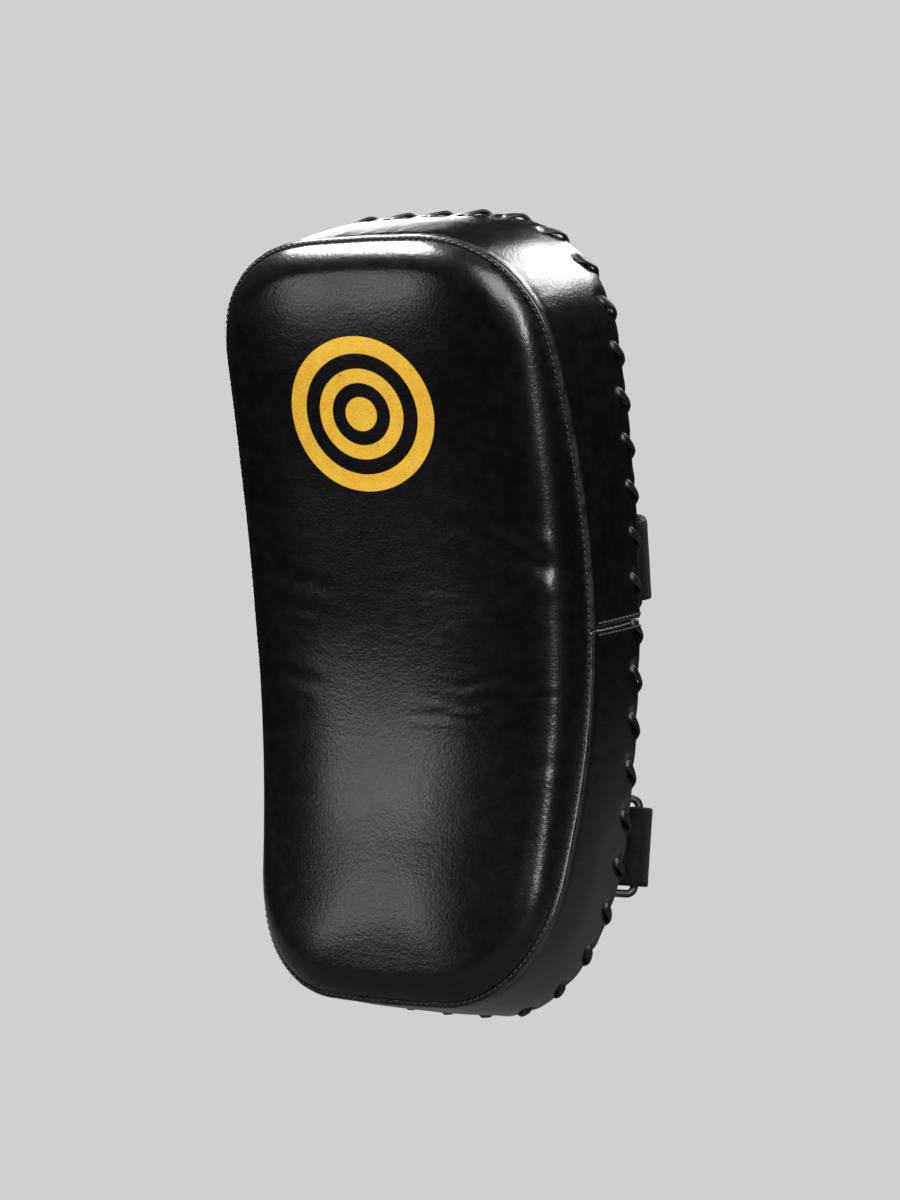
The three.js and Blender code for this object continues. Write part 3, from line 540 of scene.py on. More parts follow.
class Shader:
    """One procedural material. Lengths are in metres, in the object's own frame."""

    def __init__(self, name, **constants):
        self.material = bpy.data.materials.new(name)
        self.material.use_nodes = True
        self.tree = self.material.node_tree
        self.surface = self.tree.nodes["Principled BSDF"]
        for key, value in constants.items():
            self.surface.inputs[socket_name(key)].default_value = value
        self.place = self.node("ShaderNodeTexCoord").outputs["Object"]

    def node(self, kind, inputs=None, **settings):
        made = self.tree.nodes.new(kind)
        for key, value in settings.items():
            setattr(made, key, value)
        for key, value in (inputs or {}).items():
            if isinstance(value, bpy.types.NodeSocket):
                self.tree.links.new(value, made.inputs[key])
            else:
                made.inputs[key].default_value = value
        return made

    def math(self, operation, a, b=0.0, c=0.0):
        return self.node("ShaderNodeMath", {0: a, 1: b, 2: c}, operation=operation).outputs[0]

    def length(self, vector):
        return self.node("ShaderNodeVectorMath", {0: vector}, operation="LENGTH").outputs["Value"]

    def noise(self, size, vector=None, detail=3.0, roughness=0.55):
        values = {"Vector": vector or self.place, "Scale": 1 / size}
        values |= {"Detail": detail, "Roughness": roughness}
        return self.node("ShaderNodeTexNoise", values).outputs[0]

    def cells(self, size, vector=None, feature="F1"):
        values = {"Vector": vector or self.place, "Scale": 1 / size}
        return self.node("ShaderNodeTexVoronoi", values, feature=feature).outputs["Distance"]

    def stretched(self, scale):
        return self.node("ShaderNodeMapping", {"Vector": self.place, "Scale": scale}).outputs[0]

    def fade(self, value, low, high, to_low=0.0, to_high=1.0):
        values = {0: value, 1: low, 2: high, 3: to_low, 4: to_high}
        return self.node("ShaderNodeMapRange", values, interpolation_type="SMOOTHSTEP").outputs[0]

    def mix(self, share, a, b):
        return self.node("ShaderNodeMix", {0: share, 6: a, 7: b}, data_type="RGBA").outputs[2]

    def attribute(self, name):
        return self.node("ShaderNodeAttribute", attribute_name=name)

    def bump(self, height, distance, strength=1.0, below=None):
        values = {"Height": height, "Distance": distance, "Strength": strength}
        if below is not None:
            values["Normal"] = below
        return self.node("ShaderNodeBump", values).outputs[0]

    def use(self, **sockets):
        for key, value in sockets.items():
            self.tree.links.new(value, self.surface.inputs[socket_name(key)])
        return self.material


def grey(value):
    return (value, value, value, 1.0)


BLACK = (0.0020, 0.0020, 0.0021, 1.0)
FADED = (0.0050, 0.0049, 0.0048, 1.0)
GOLD = (0.98, 0.58, 0.060, 1.0)
GOLD_DEEP = (0.90, 0.49, 0.042, 1.0)


def print_mask(shader):
    """1 on the printed rings. The place on the face is worked back from the bent pad."""
    x, y, z = shader.node("ShaderNodeSeparateXYZ", {0: shader.place}).outputs
    from_axis = shader.math("ADD", y, (BEND_UPPER + REST) * MM)
    s = shader.math("MULTIPLY", shader.math("ARCTAN2", z, from_axis), BEND_UPPER * MM)
    across = shader.math("SUBTRACT", x, PRINT_CENTRE[0] * MM)
    up = shader.math("SUBTRACT", s, PRINT_CENTRE[1] * MM)
    radius = shader.length(shader.node("ShaderNodeCombineXYZ", {0: across, 1: up}).outputs[0])
    edge = 0.25 * MM
    total = None
    for inner, outer in PRINT_BANDS:
        middle, half = (inner + outer) / 2 * MM, (outer - inner) / 2 * MM
        off = shader.math("ABSOLUTE", shader.math("SUBTRACT", radius, middle))
        ring = shader.fade(off, half - edge, half + edge, 1.0, 0.0)
        total = ring if total is None else shader.math("MAXIMUM", total, ring)
    front = shader.fade(y, -(REST + 25) * MM, -(REST + 35) * MM)
    cracks = shader.fade(shader.noise(0.9 * MM, detail=4.0), 0.30, 0.36)
    return shader.math("MULTIPLY", shader.math("MULTIPLY", total, front), cracks)


def leather(name, grain=1.5, depth=0.095, gloss=0.27, printed=False):
    """Smooth black leather: fine pebble grain, drawn wrinkles, tonal drift and rubbed edges."""
    shader = Shader(name, specular_ior_level=0.5, coat_weight=0.12, coat_roughness=0.26)
    drift = shader.noise(38 * MM, detail=4.0)
    cloud = shader.noise(7 * MM, detail=5.0, roughness=0.65)
    rubbed = shader.attribute("rubbed").outputs["Fac"]
    pebble = shader.cells(grain * MM, feature="SMOOTH_F1")
    pores = shader.noise(0.34 * MM, detail=2.0)
    lines = shader.noise(1.0, vector=shader.stretched((150, 150, 520)), detail=1.5, roughness=0.5)
    creased = shader.fade(shader.math("ABSOLUTE", shader.math("SUBTRACT", lines, 0.5)), 0.0, 0.07)
    tone = shader.mix(shader.fade(cloud, 0.35, 0.75), BLACK, FADED)
    worn = shader.math("MULTIPLY", rubbed, shader.fade(cloud, 0.30, 0.62))
    tone = shader.mix(worn, tone, (0.034, 0.033, 0.031, 1.0))
    rough = shader.math("MULTIPLY_ADD", drift, 0.16, gloss - 0.08)
    rough = shader.math("MULTIPLY_ADD", cloud, 0.04, rough)
    rough = shader.math("MULTIPLY_ADD", worn, 0.16, shader.math("SUBTRACT", rough, 0.05))
    if printed:
        paint = print_mask(shader)
        shade = shader.mix(shader.fade(cloud, 0.3, 0.7), GOLD_DEEP, GOLD)
        tone = shader.mix(paint, tone, shade)
        rough = shader.math("MULTIPLY_ADD", paint, 0.08, rough)
    normal = shader.bump(creased, 0.03 * MM, 0.30)
    normal = shader.bump(pebble, depth * MM, 0.65, normal)
    normal = shader.bump(pores, 0.02 * MM, 0.5, normal)
    return shader.use(base_color=tone, roughness=rough, normal=normal)


def cut_leather(name):
    """Thicker trim leather with a coarser grain and paler cut fibres where it is rubbed."""
    return leather(name, grain=1.7, depth=0.13, gloss=0.42)


def webbing(name):
    """Woven strap: two sets of ribs across each other, with fuzz; painted shade darkens the weave's low
    places and lightens its raised threads.
    """
    shader = Shader(name, specular_ior_level=0.15, sheen_weight=0.04, sheen_roughness=0.5)
    flow = shader.attribute("flow").outputs["Vector"]
    along, across, _ = shader.node("ShaderNodeSeparateXYZ", {0: flow}).outputs
    pick, end = 2.1 * MM, 1.5 * MM
    warp = shader.math("SINE", shader.math("MULTIPLY", across, 2 * math.pi / end))
    shift = shader.math("MULTIPLY", shader.math("SIGN", warp), math.pi / 2)
    weft = shader.math("SINE", shader.math("MULTIPLY_ADD", along, 2 * math.pi / pick, shift))
    rise = shader.math("MULTIPLY", shader.math("ABSOLUTE", warp), shader.fade(weft, -0.9, 0.8, 0.25, 1.0))
    fuzz = shader.noise(0.5 * MM, detail=4.0)
    cloud = shader.noise(9 * MM, detail=3.0)
    height = shader.math("MULTIPLY_ADD", fuzz, 0.3, rise)
    # painted shade: colour follows the weave's height, darker in its low places and lighter on its raised
    # threads
    tone = shader.mix(rise, grey(0.0020), grey(0.0095))
    tone = shader.mix(shader.fade(cloud, 0.4, 0.8, 0.0, 0.5), tone, grey(0.013))
    rough = shader.fade(fuzz, 0.3, 0.7, 0.72, 0.90)
    return shader.use(base_color=tone, roughness=rough, normal=shader.bump(height, 0.32 * MM, 0.9))


def pile(name, size, hooked):
    """Hook-and-loop: matt tangled loops, or rows of stiff hooks, with painted shade deep among them and
    lighter tips.
    """
    shader = Shader(name, specular_ior_level=0.25, sheen_weight=0.5, sheen_roughness=0.6)
    flow = shader.attribute("flow").outputs["Vector"]
    tufts = shader.cells(size * MM, vector=flow)
    tangle = shader.noise(0.5 * size * MM, vector=flow, detail=5.0, roughness=0.7)
    share = 0.25 if hooked else 0.7
    height = shader.math("MULTIPLY_ADD", tangle, share, shader.math("SUBTRACT", 1.0, tufts))
    # painted shade: colour follows the pile's height, darker deep among the tufts and lighter at their
    # tips
    tone = shader.mix(shader.fade(height, 0.5, 1.4), grey(0.003), grey(0.022))
    rough = shader.fade(tangle, 0.3, 0.7, 0.75, 0.95)
    return shader.use(base_color=tone, roughness=rough, normal=shader.bump(height, 0.4 * MM, 0.9))


def moulded(name):
    """Satin moulded nylon with a fine spark-eroded texture."""
    shader = Shader(name, specular_ior_level=0.5)
    fine = shader.noise(0.45 * MM, detail=3.0)
    cloud = shader.noise(6 * MM, detail=4.0)
    drawn = shader.noise(1.0, vector=shader.stretched((90, 900, 500)), detail=4.0)
    scuffs = shader.fade(drawn, 0.60, 0.70)
    tone = shader.mix(cloud, grey(0.005), grey(0.009))
    tone = shader.mix(scuffs, tone, grey(0.020))
    rough = shader.math("MULTIPLY_ADD", scuffs, 0.15, shader.fade(cloud, 0.3, 0.7, 0.30, 0.42))
    return shader.use(base_color=tone, roughness=rough, normal=shader.bump(fine, 0.03 * MM, 0.7))


def steel(name):
    """Nickel-plated steel, lightly scratched and dulled."""
    shader = Shader(name, metallic=1.0)
    cloud = shader.noise(2.5 * MM, detail=5.0)
    drawn = shader.noise(1.0, vector=shader.stretched((400, 4000, 900)), detail=2.0)
    scratches = shader.fade(drawn, 0.55, 0.68)
    tone = shader.mix(cloud, (0.40, 0.39, 0.37, 1), (0.62, 0.61, 0.59, 1))
    rough = shader.math("MULTIPLY_ADD", scratches, 0.15, shader.fade(cloud, 0.3, 0.7, 0.20, 0.36))
    return shader.use(base_color=tone, roughness=rough, normal=shader.bump(scratches, 0.02 * MM, 0.5))


def thread(name, shade=0.030):
    """Waxed twisted thread, with painted shade: darker where its fibre bump is low, lighter where it is
    high.
    """
    shader = Shader(name, specular_ior_level=0.5)
    fibre = shader.noise(0.35 * MM, detail=3.0)
    # painted shade: colour follows the fibre bump, darker in its low places and lighter on its high ones
    tone = shader.mix(fibre, grey(shade * 0.5), grey(shade * 1.5))
    rough = shader.fade(fibre, 0.3, 0.7, 0.42, 0.6)
    return shader.use(base_color=tone, roughness=rough, normal=shader.bump(fibre, 0.06 * MM, 0.8))


def foam(name):
    """Open-cell foam, hidden inside the leather."""
    shader = Shader(name, specular_ior_level=0.2)
    pores = shader.cells(1.3 * MM)
    cloud = shader.noise(12 * MM, detail=3.0)
    tone = shader.mix(shader.fade(pores, 0.1, 0.8), grey(0.10), grey(0.035))
    tone = shader.mix(shader.fade(cloud, 0.4, 0.8, 0.0, 0.5), tone, grey(0.06))
    rough = shader.fade(cloud, 0.3, 0.7, 0.88, 0.97)
    return shader.use(base_color=tone, roughness=rough, normal=shader.bump(pores, 0.5 * MM, 0.8))


SHELL = leather("shell_leather")
FACE = leather("striking_face_leather", printed=True)
TRIM = cut_leather("trim_leather")
LACE = leather("lace_leather", grain=0.8, depth=0.06, gloss=0.46)
WEBBING = webbing("strap_webbing")
LOOPS = pile("loop_pile", 0.9, hooked=False)
HOOKS = pile("hook_pile", 1.4, hooked=True)
PLASTIC = moulded("ring_nylon")
STEEL = steel("rivet_steel")
THREAD = thread("black_thread")
FOAM = foam("inner_foam")

# ------------------------------------------------------------------ the padded shell

DENTS = Noise(11)
FINE = Noise(23)
GATHERS = Noise(37)

# creases of the striking face: two ends in x and s, how deep and how wide
CREASES = (
    ((40, 56), (66, 45), 0.40, 6.0),
    ((62, 47), (97, 25), 0.85, 6.0),
    ((-76, 30), (-30, 22), 0.16, 4.5),
    ((-74, 12), (-44, 9), 0.12, 3.5),
    ((-70, -25), (-42, -31), 0.20, 4.0),
    ((34, -30), (72, -24), 0.13, 2.4),
    ((44, -39), (90, -33), 0.20, 2.6),
    ((10, -46), (48, -50), 0.10, 2.6),
    ((56, -80), (92, -70), 0.22, 4.4),
    ((-84, 72), (-66, 66), 0.20, 4.0),
)


def crease_relief(x, s):
    """Valleys with a soft fold on each side, tapering to their ends."""
    total = np.zeros_like(x)
    wander = 2.2 * DENTS(x / 11, s / 11)
    for (x0, s0), (x1, s1), depth, width in CREASES:
        run, rise = x1 - x0, s1 - s0
        length = math.hypot(run, rise)
        t = ((x - x0) * run + (s - s0) * rise) / length**2
        off = ((x - x0) * rise - (s - s0) * run) / length + wander
        taper = smooth(t, -0.25, 0.3) * smooth(1 - t, -0.25, 0.3)
        folds = hump(off - 1.7 * width, width) + 0.7 * hump(off + 1.7 * width, width)
        total += taper * depth * (0.75 * folds - 0.8 * hump(off, 0.8 * width))
    return total


def wrinkle_relief(x, s):
    """Fine drawn lines across the hollow of the face, strongest toward its right side."""
    drift = 3.0 * DENTS(x / 24, s / 24)
    lines = FINE(x / 13 + 5, (s + drift) / 2.1) + 0.6 * FINE(x / 7 + 30, (s + drift) / 1.3)
    right = smooth(x, 5, 45) * smooth(x, 96, 84)
    hollow = hump(s + 38, 17) * right + 0.55 * hump(s - 12, 22) * smooth(x, -20, 20)
    left = 0.45 * hump(s + 20, 26) * smooth(-x, 30, 55)
    return 0.085 * lines * (0.16 + hollow + left)


def gathers(u, distance, reach, size):
    """Small puckers that run away from a seam and fade out."""
    along = along_rim(u) % RIM_LENGTH
    _, s = outline(RIM, u)
    ends = 0.45 + 0.55 * smooth(np.abs(s), 95, 165)
    ripple = GATHERS(along / 3.1, distance / 14) + 0.6 * GATHERS(along / 6.3 + 20, distance / 30)
    return size * ends * ripple * np.exp(-np.maximum(distance, 0) / reach)


def front_panel():
    columns, shoulder_rows, face_rows = 560, 26, 50
    u = spaced(0, LOOP, columns + 1)[:-1]
    depth, turn = seam_depth(u), seam_turn(u)
    straight = np.maximum(0, depth - (FACE_DEPTH + SHOULDER))
    total = straight + SHOULDER * (np.pi / 2 - FACE_SLOPE - turn)
    rows, distances = [], []
    for tuck, out in PANEL_TUCK:
        x, s, _ = shoulder(u, turn, out)
        rows.append((x, s, depth + tuck))
        distances.append(np.full(columns, -tuck))
    for share in np.linspace(0, 1, shoulder_rows) ** 1.15:
        distance = share * total
        swept = turn + np.maximum(0, distance - straight) / SHOULDER
        out = -0.75 * hump(distance - 0.4, 1.6)
        x, s, n = shoulder(u, swept, out)
        rows.append((x, s, np.where(distance < straight, depth - distance, n)))
        distances.append(distance)
    edge_x, edge_s, edge_n = rows[-1]
    spine_s = np.clip(edge_s, -SPINE, SPINE)
    reach = np.hypot(edge_x, edge_s - spine_s)
    crown = math.tan(FACE_SLOPE) * float(np.median(reach)) / 3
    for row in range(1, face_rows + 1):
        w = (row / face_rows) ** 0.92
        rise = crown * (1 - (1 - w) ** 3)
        rows.append((edge_x * (1 - w), lerp(edge_s, spine_s, w), edge_n - rise))
        distances.append(total + w * reach)
    x, s, n = (np.array([np.broadcast_to(row[k], (columns,)) for row in rows]) for k in range(3))
    distance = np.array(distances)
    grid = bend(x, s, n)
    normals = facing_out(grid, grid_normals(grid, wrap=True))
    normals[-2:] = -outward(s[-2:])
    on_face = smooth(distance, 6, 34)
    relief = on_face * (crease_relief(x, s) + 0.40 * DENTS(x / 46, s / 46))
    relief += on_face * wrinkle_relief(x, s)
    relief += smooth(distance, -0.5, 3) * gathers(u[None, :], distance, 4.5, 0.16)
    grid = grid + normals * relief[..., None]
    rubbed = 0.40 * hump(distance - 2.2, 2.2) + 0.12 * smooth(relief, 0.35, 0.9)
    piece = leather_sheet("front_panel", grid, normals, FACE, rubbed)
    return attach(piece, "pad")


def front_seam():
    """The row of stitches in the valley where the front panel meets the side."""
    u = spaced(0, LOOP, 2400)
    turn, depth = seam_turn(u), seam_depth(u)
    x, s, _ = shoulder(u, turn, -0.25)
    line = bend(x, s, depth - 1.5)
    outer = bend(*shoulder(u, turn, 2.0)[:2], depth - 1.5)
    row = sewing(line, unit(outer - line), pitch=3.5, radius=0.5)
    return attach(stitched("front_seam_thread", [row], "shell_leather"), "pad")


def gusset(name, start, end, columns):
    """A side piece: a rolled ridge at its front seam, puckers, and a bare edge at the rim."""
    u = spaced(start, end, columns)
    first = seam_depth(u)
    rows, distances = [], []
    for step, out in GUSSET_RIDGE:
        rows.append((first + step, np.full(columns, out)))
        distances.append(np.full(columns, step))
    for share in np.linspace(0, 1, 36)[1:]:
        depth = lerp(first + GUSSET_RIDGE[-1][0], RIM_DEPTH - 1.0, share)
        rows.append((depth, np.zeros(columns)))
        distances.append(depth - first)
    for back, out in GUSSET_EDGE:
        rows.append((np.full(columns, RIM_DEPTH - back), np.full(columns, out)))
        distances.append(RIM_DEPTH - back - first)
    depth = np.array([row[0] for row in rows])
    out = np.array([row[1] for row in rows])
    distance = np.array(distances)
    from_rim = RIM_DEPTH - depth
    along = along_rim(u)[None, :]
    phase = lace_phase(u)[None, :]
    hole = hump(np.minimum(phase, 1 - phase) * PITCH, 2.6) * hump(from_rim - HOLE_FROM_RIM, 3.4)
    pulled = hump(((phase - 0.22 + 0.5) % 1 - 0.5) * PITCH, 4.2) * hump(from_rim, 6.5)
    swell = np.sin(np.pi * np.clip(distance / (distance + from_rim), 0, 1))
    _, s = outline(RIM, u)
    open_wall = smooth(distance, 3.5, 9)
    out = out + open_wall * (1.1 * swell - 1.5 * hole - 0.9 * pulled)
    out += open_wall * 0.35 * GATHERS(along / 7.4, from_rim / 12) * np.exp(-from_rim / 14)
    out += open_wall * (0.5 * DENTS(along / 33, depth / 25))
    out += smooth(distance, 2, 5) * gathers(u[None, :], distance, 7.0, 0.45)
    out += 0.14 * FINE(along / 3.4, np.zeros_like(depth)) * hump(distance - 1.2, 2.2)
    near_seam = np.minimum(np.abs(s - SIDE_HEIGHTS[1]), 30)[None, :]
    out += open_wall * (0.35 * hump(near_seam - 1.8, 1.6) - 0.45 * hump(near_seam, 0.8))
    grid = bend(*wall(u[None, :], depth, out))
    normals = facing_out(grid, grid_normals(grid, wrap=False))
    rubbed = 0.85 * hump(distance - 0.8, 1.6) + 0.9 * hump(from_rim, 1.3) + 0.25 * hole
    rubbed = rubbed + 0.3 * hump(near_seam - 1.2, 1.0) * open_wall
    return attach(leather_sheet(name, grid, normals, SHELL, rubbed, False, False), "pad")


def gusset_seams():
    """Two rows of stitches beside each joint of the side pieces."""
    rows = []
    for middle in (SEAM_RIGHT, SEAM_LEFT):
        for beside in (-2.9, 2.9):
            distance = along_rim(middle) + beside
            u = np.interp(distance, TABLE_D, TABLE_U)
            depth = np.linspace(seam_depth(u) + 5, RIM_DEPTH - 2, 80)
            line = bend(*wall(u, depth, 1.55 + 0.9 * np.sin(np.linspace(0, np.pi, 80))))
            outer = bend(*wall(u, depth, 5.0))
            rows.append(sewing(line, unit(outer - line), pitch=3.4))
    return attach(stitched("gusset_seam_thread", rows, "shell_leather"), "pad")


def back_panel():
    columns, inner_rows = 460, 44
    u = spaced(0, LOOP, columns + 1)[:-1]
    rows, distances = [], []
    for step, drop in (*BACK_EDGE, *((flat, 0.0) for flat in BACK_ROWS)):
        x, s = outline(RIM, u, BACK_INSET + step)
        rows.append((x, s, np.full(columns, RIM_DEPTH + drop)))
        distances.append(np.full(columns, BACK_INSET + step))
    edge_x, edge_s, _ = rows[-1]
    edge_inset = distances[-1]
    spine_s = np.clip(edge_s, -SPINE, SPINE)
    for row in range(1, inner_rows + 1):
        w = row / inner_rows
        rows.append((edge_x * (1 - w), lerp(edge_s, spine_s, w), np.full(columns, RIM_DEPTH)))
        distances.append(edge_inset + w * np.hypot(edge_x, edge_s - spine_s))
    x, s, n = (np.array([row[k] for row in rows]) for k in range(3))
    inset = np.array(distances)
    grid = bend(x, s, n)
    normals = outward(s)
    phase = lace_phase(u)[None, :]
    far = (phase - SLANT / PITCH + 0.5) % 1 - 0.5
    hole = hump(far * PITCH, 2.6) * hump(inset - HOLE_FROM_EDGE, 3.0)
    strand = hump((far + 0.18) * PITCH, 3.6) * hump(inset - 3.5, 4.5)
    edge = np.exp(-np.maximum(inset - 9, 0) / 9)
    relief = -1.1 * hole - 0.55 * strand
    relief += edge * 0.4 * GATHERS(along_rim(u)[None, :] / 5.2 + 7, inset / 12)
    relief += smooth(inset, 4, 16) * (0.18 * DENTS(x / 38 + 9, s / 38) - 0.1)
    relief += smooth(inset, 4, 16) * 0.05 * FINE(x / 6, s / 6)
    relief = np.minimum(relief, 0.22)
    grid = grid + normals * relief[..., None]
    rubbed = 0.9 * hump(inset - BACK_INSET, 1.2) + 0.3 * hole
    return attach(leather_sheet("back_panel", grid, normals, SHELL, rubbed), "pad")


def rim_lace():
    """One strand whipped over the rim, slanting from a side hole to a back hole each turn."""
    turn = (*LACE_TURN, ((SLANT + PITCH) / 2, *LACE_INSIDE))
    wobble = np.random.default_rng(5).uniform(-0.5, 0.5, (STITCHES, 2))
    points = np.array([
        rim_point(stitch * PITCH + on + shift, out, depth + lift * 0.4)
        for stitch, (shift, lift) in enumerate(wobble)
        for on, out, depth in turn
    ][:-1])
    cores = np.array([
        rim_point(stitch * PITCH + on, LACE_CORE, LACE_CORE)
        for stitch in range(STITCHES)
        for on, _, _ in turn
    ][:-1])
    line, core = flowing(points, 5), flowing(cores, 5)
    sections = sweep(line, unit(line - core), LACE_HALF_WIDTH, LACE_HALF_THICKNESS, sides=14)
    lace_points, faces = tube(sections)
    rubbed = np.repeat(0.10 + 0.1 * FINE(np.arange(len(line)) / 3.0, 0.0), 14)
    piece = make("rim_lace_strand", lace_points, faces, LACE, "lace_leather", rubbed=rubbed)
    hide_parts("rim_lace")
    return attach(piece, "pad")


front_panel()
front_seam()
gusset("gusset_upper", SEAM_RIGHT + 0.0012, SEAM_LEFT - 0.0012, 330)
gusset("gusset_lower", SEAM_LEFT + 0.0012, SEAM_RIGHT + LOOP - 0.0012, 330)
gusset_seams()
back_panel()
rim_lace()

# ------------------------------------------------------------------ forearm cushion


def cushion_outline(t, inset):
    """x and s of the cushion's outline, as places t from 0 to 1 round a rounded rectangle."""
    half_x, half_s = CUSHION_HALF_WIDTH - inset, (CUSHION_TOP - CUSHION_BOTTOM) / 2 - inset
    corner = max(CUSHION_CORNER - inset, 2.0)
    side_x, side_s = half_x - corner, half_s - corner
    bend_length = corner * np.pi / 2
    pieces = [2 * side_s, bend_length, 2 * side_x, bend_length] * 2
    at = (np.asarray(t) % 1) * sum(pieces)
    starts = np.concatenate([[0], np.cumsum(pieces)])
    corners = ((side_x, side_s), (-side_x, side_s), (-side_x, -side_s), (side_x, -side_s))
    x, s = np.zeros_like(at), np.zeros_like(at)
    for k, (cx, cs) in enumerate(corners):
        facing = k * np.pi / 2
        straight = (at >= starts[2 * k]) & (at < starts[2 * k + 1])
        turning = (at >= starts[2 * k + 1]) & (at <= starts[2 * k + 2])
        back = starts[2 * k + 1] - at
        x = np.where(straight, cx + corner * math.cos(facing) + back * math.sin(facing), x)
        s = np.where(straight, cs + corner * math.sin(facing) - back * math.cos(facing), s)
        angle = facing + (at - starts[2 * k + 1]) / corner
        x = np.where(turning, cx + corner * np.cos(angle), x)
        s = np.where(turning, cs + corner * np.sin(angle), s)
    return x, s + (CUSHION_TOP + CUSHION_BOTTOM) / 2


def cushion_depth(s):
    """The cushion's top: a plane near mid height, then a curve that follows the pad."""
    radius = np.where(s > 0, BEND_UPPER, BEND_LOWER)
    angle = np.minimum(np.abs(s), REST_HALF_LENGTH) / radius
    return (radius + RIM_DEPTH + CUSHION_HEIGHT) / np.cos(angle) - radius


def inflate(piece, pinned, frames, pressure, most):
    """Swells a piece as cloth with air inside. Pinned points stay, and none moves beyond most."""
    count = len(piece.data.vertices)
    rest = np.empty(count * 3, np.float32)
    piece.data.vertices.foreach_get("co", rest)
    rest = rest.reshape(-1, 3)
    group = piece.vertex_groups.new(name="pinned")
    group.add([int(i) for i in np.nonzero(pinned(rest))[0]], 1.0, "REPLACE")
    cloth = piece.modifiers.new("cloth", "CLOTH")
    cloth.settings.quality = 4
    cloth.settings.mass = 0.3
    cloth.settings.vertex_group_mass = "pinned"
    cloth.settings.use_pressure = True
    cloth.settings.uniform_pressure_force = pressure
    cloth.settings.effector_weights.gravity = 0.0
    for frame_number in range(1, frames + 1):
        bpy.context.scene.frame_set(frame_number)
    view = bpy.context.evaluated_depsgraph_get()
    swollen = piece.evaluated_get(view).to_mesh()
    after = np.empty(count * 3, np.float32)
    swollen.vertices.foreach_get("co", after)
    piece.modifiers.remove(cloth)
    piece.vertex_groups.remove(group)
    bpy.context.scene.frame_set(1)
    step = after.reshape(-1, 3) - rest
    length = np.linalg.norm(step, axis=1, keepdims=True)
    step *= np.minimum(1.0, most / np.maximum(length, 1e-9))
    piece.data.vertices.foreach_set("co", (rest + step).ravel())
    piece.data.update()


def cushion_foot(rest):
    """The lowest points of the cushion, which are sewn to the back panel."""
    radius = np.where(rest[:, 2] > 0, BEND_UPPER, BEND_LOWER) * MM
    depth = np.hypot(rest[:, 1] + radius + REST * MM, rest[:, 2]) - radius
    return depth < (CUSHION_BASE + 0.8) * MM


def forearm_cushion():
    """The cushion, swollen as cloth, then drawn in along its border and its channel."""
    columns, face_rows = 300, 30
    t = np.arange(columns) / columns
    rows = []
    for inset, share in CUSHION_SIDES:
        x, s = cushion_outline(t, inset)
        rows.append((x, s, lerp(CUSHION_BASE, cushion_depth(s) - CUSHION_SLACK, share)))
    edge_x, edge_s, _ = rows[-1]
    middle = (CUSHION_TOP + CUSHION_BOTTOM) / 2
    spine_s = middle + np.clip(edge_s - middle, -CUSHION_SPINE, CUSHION_SPINE)
    for row in range(1, face_rows + 1):
        w = row / face_rows
        x, s = edge_x * (1 - w), lerp(edge_s, spine_s, w)
        rows.append((x, s, cushion_depth(s) - CUSHION_SLACK))
    x, s, n = (np.array([row[k] for row in rows]) for k in range(3))
    faces = [*grid_faces(len(rows), columns, wrap=True), tuple(range(columns))]
    piece = make("forearm_cushion", bend(x, s, n).reshape(-1, 3), faces, SHELL, "shell_leather")
    inflate(piece, cushion_foot, frames=16, pressure=3.0, most=2.4 * MM)
    co = np.empty(len(piece.data.vertices) * 3, np.float32)
    piece.data.vertices.foreach_get("co", co)
    co = co.reshape(-1, 3) / MM
    radius = np.where(co[:, 2] > 0, BEND_UPPER, BEND_LOWER)
    from_axis = co[:, 1] + radius + REST
    s, n = radius * np.arctan2(co[:, 2], from_axis), np.hypot(from_axis, co[:, 2]) - radius
    in_x = CUSHION_HALF_WIDTH - np.abs(co[:, 0])
    in_s = (CUSHION_TOP - CUSHION_BOTTOM) / 2 - np.abs(s - middle)
    inset = np.minimum(in_x, in_s)
    on_top = smooth(n, CUSHION_BASE + 5, CUSHION_BASE + 8)
    border = hump(inset - CUSHION_BORDER, 1.7)
    channel = hump(s - CUSHION_CHANNEL, 2.3) * smooth(inset, 6, 9)
    relief = on_top * (-1.5 * border - 2.4 * channel)
    relief += on_top * 0.35 * DENTS(co[:, 0] / 21 + 3, s / 21)
    pucker = GATHERS(s / 4.6 + co[:, 0] / 4.6, 0.5)
    relief += on_top * 0.35 * pucker * (hump(inset - CUSHION_BORDER, 5) + hump(s - CUSHION_CHANNEL, 7))
    co += outward(s) * relief[:, None]
    piece.data.vertices.foreach_set("co", (co * MM).astype(np.float32).ravel())
    rubbed = piece.data.attributes.new("rubbed", "FLOAT", "POINT")
    rubbed.data.foreach_set("value", (0.3 * on_top * (border + channel)).astype(np.float32))
    piece.data.update()
    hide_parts("forearm_cover")
    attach(piece, "pad")
    across = np.linspace(-CUSHION_HALF_WIDTH + 9, CUSHION_HALF_WIDTH - 9, 200)
    border = cushion_outline(np.linspace(0, 1, 1400), CUSHION_BORDER)
    laid = surface_over(piece, [border, (across, np.full_like(across, CUSHION_CHANNEL))])
    rows = [sewing(line, ups, pitch=4.0) for line, ups in laid]
    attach(stitched("forearm_cushion_thread", rows, "shell_leather"), "pad")
    x, s = cushion_outline(np.linspace(0, 1, 700, endpoint=False), -0.6)
    line = bend(x, s, RIM_DEPTH + WELT_RADIUS)
    closed, ups = np.concatenate([line, line[:1]]), outward(np.append(s, s[0]))
    points, faces = hoop(sweep(closed, ups, WELT_RADIUS, WELT_RADIUS, sides=10))
    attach(make("forearm_cushion_welt", points, faces, TRIM, "trim_leather"), "pad")


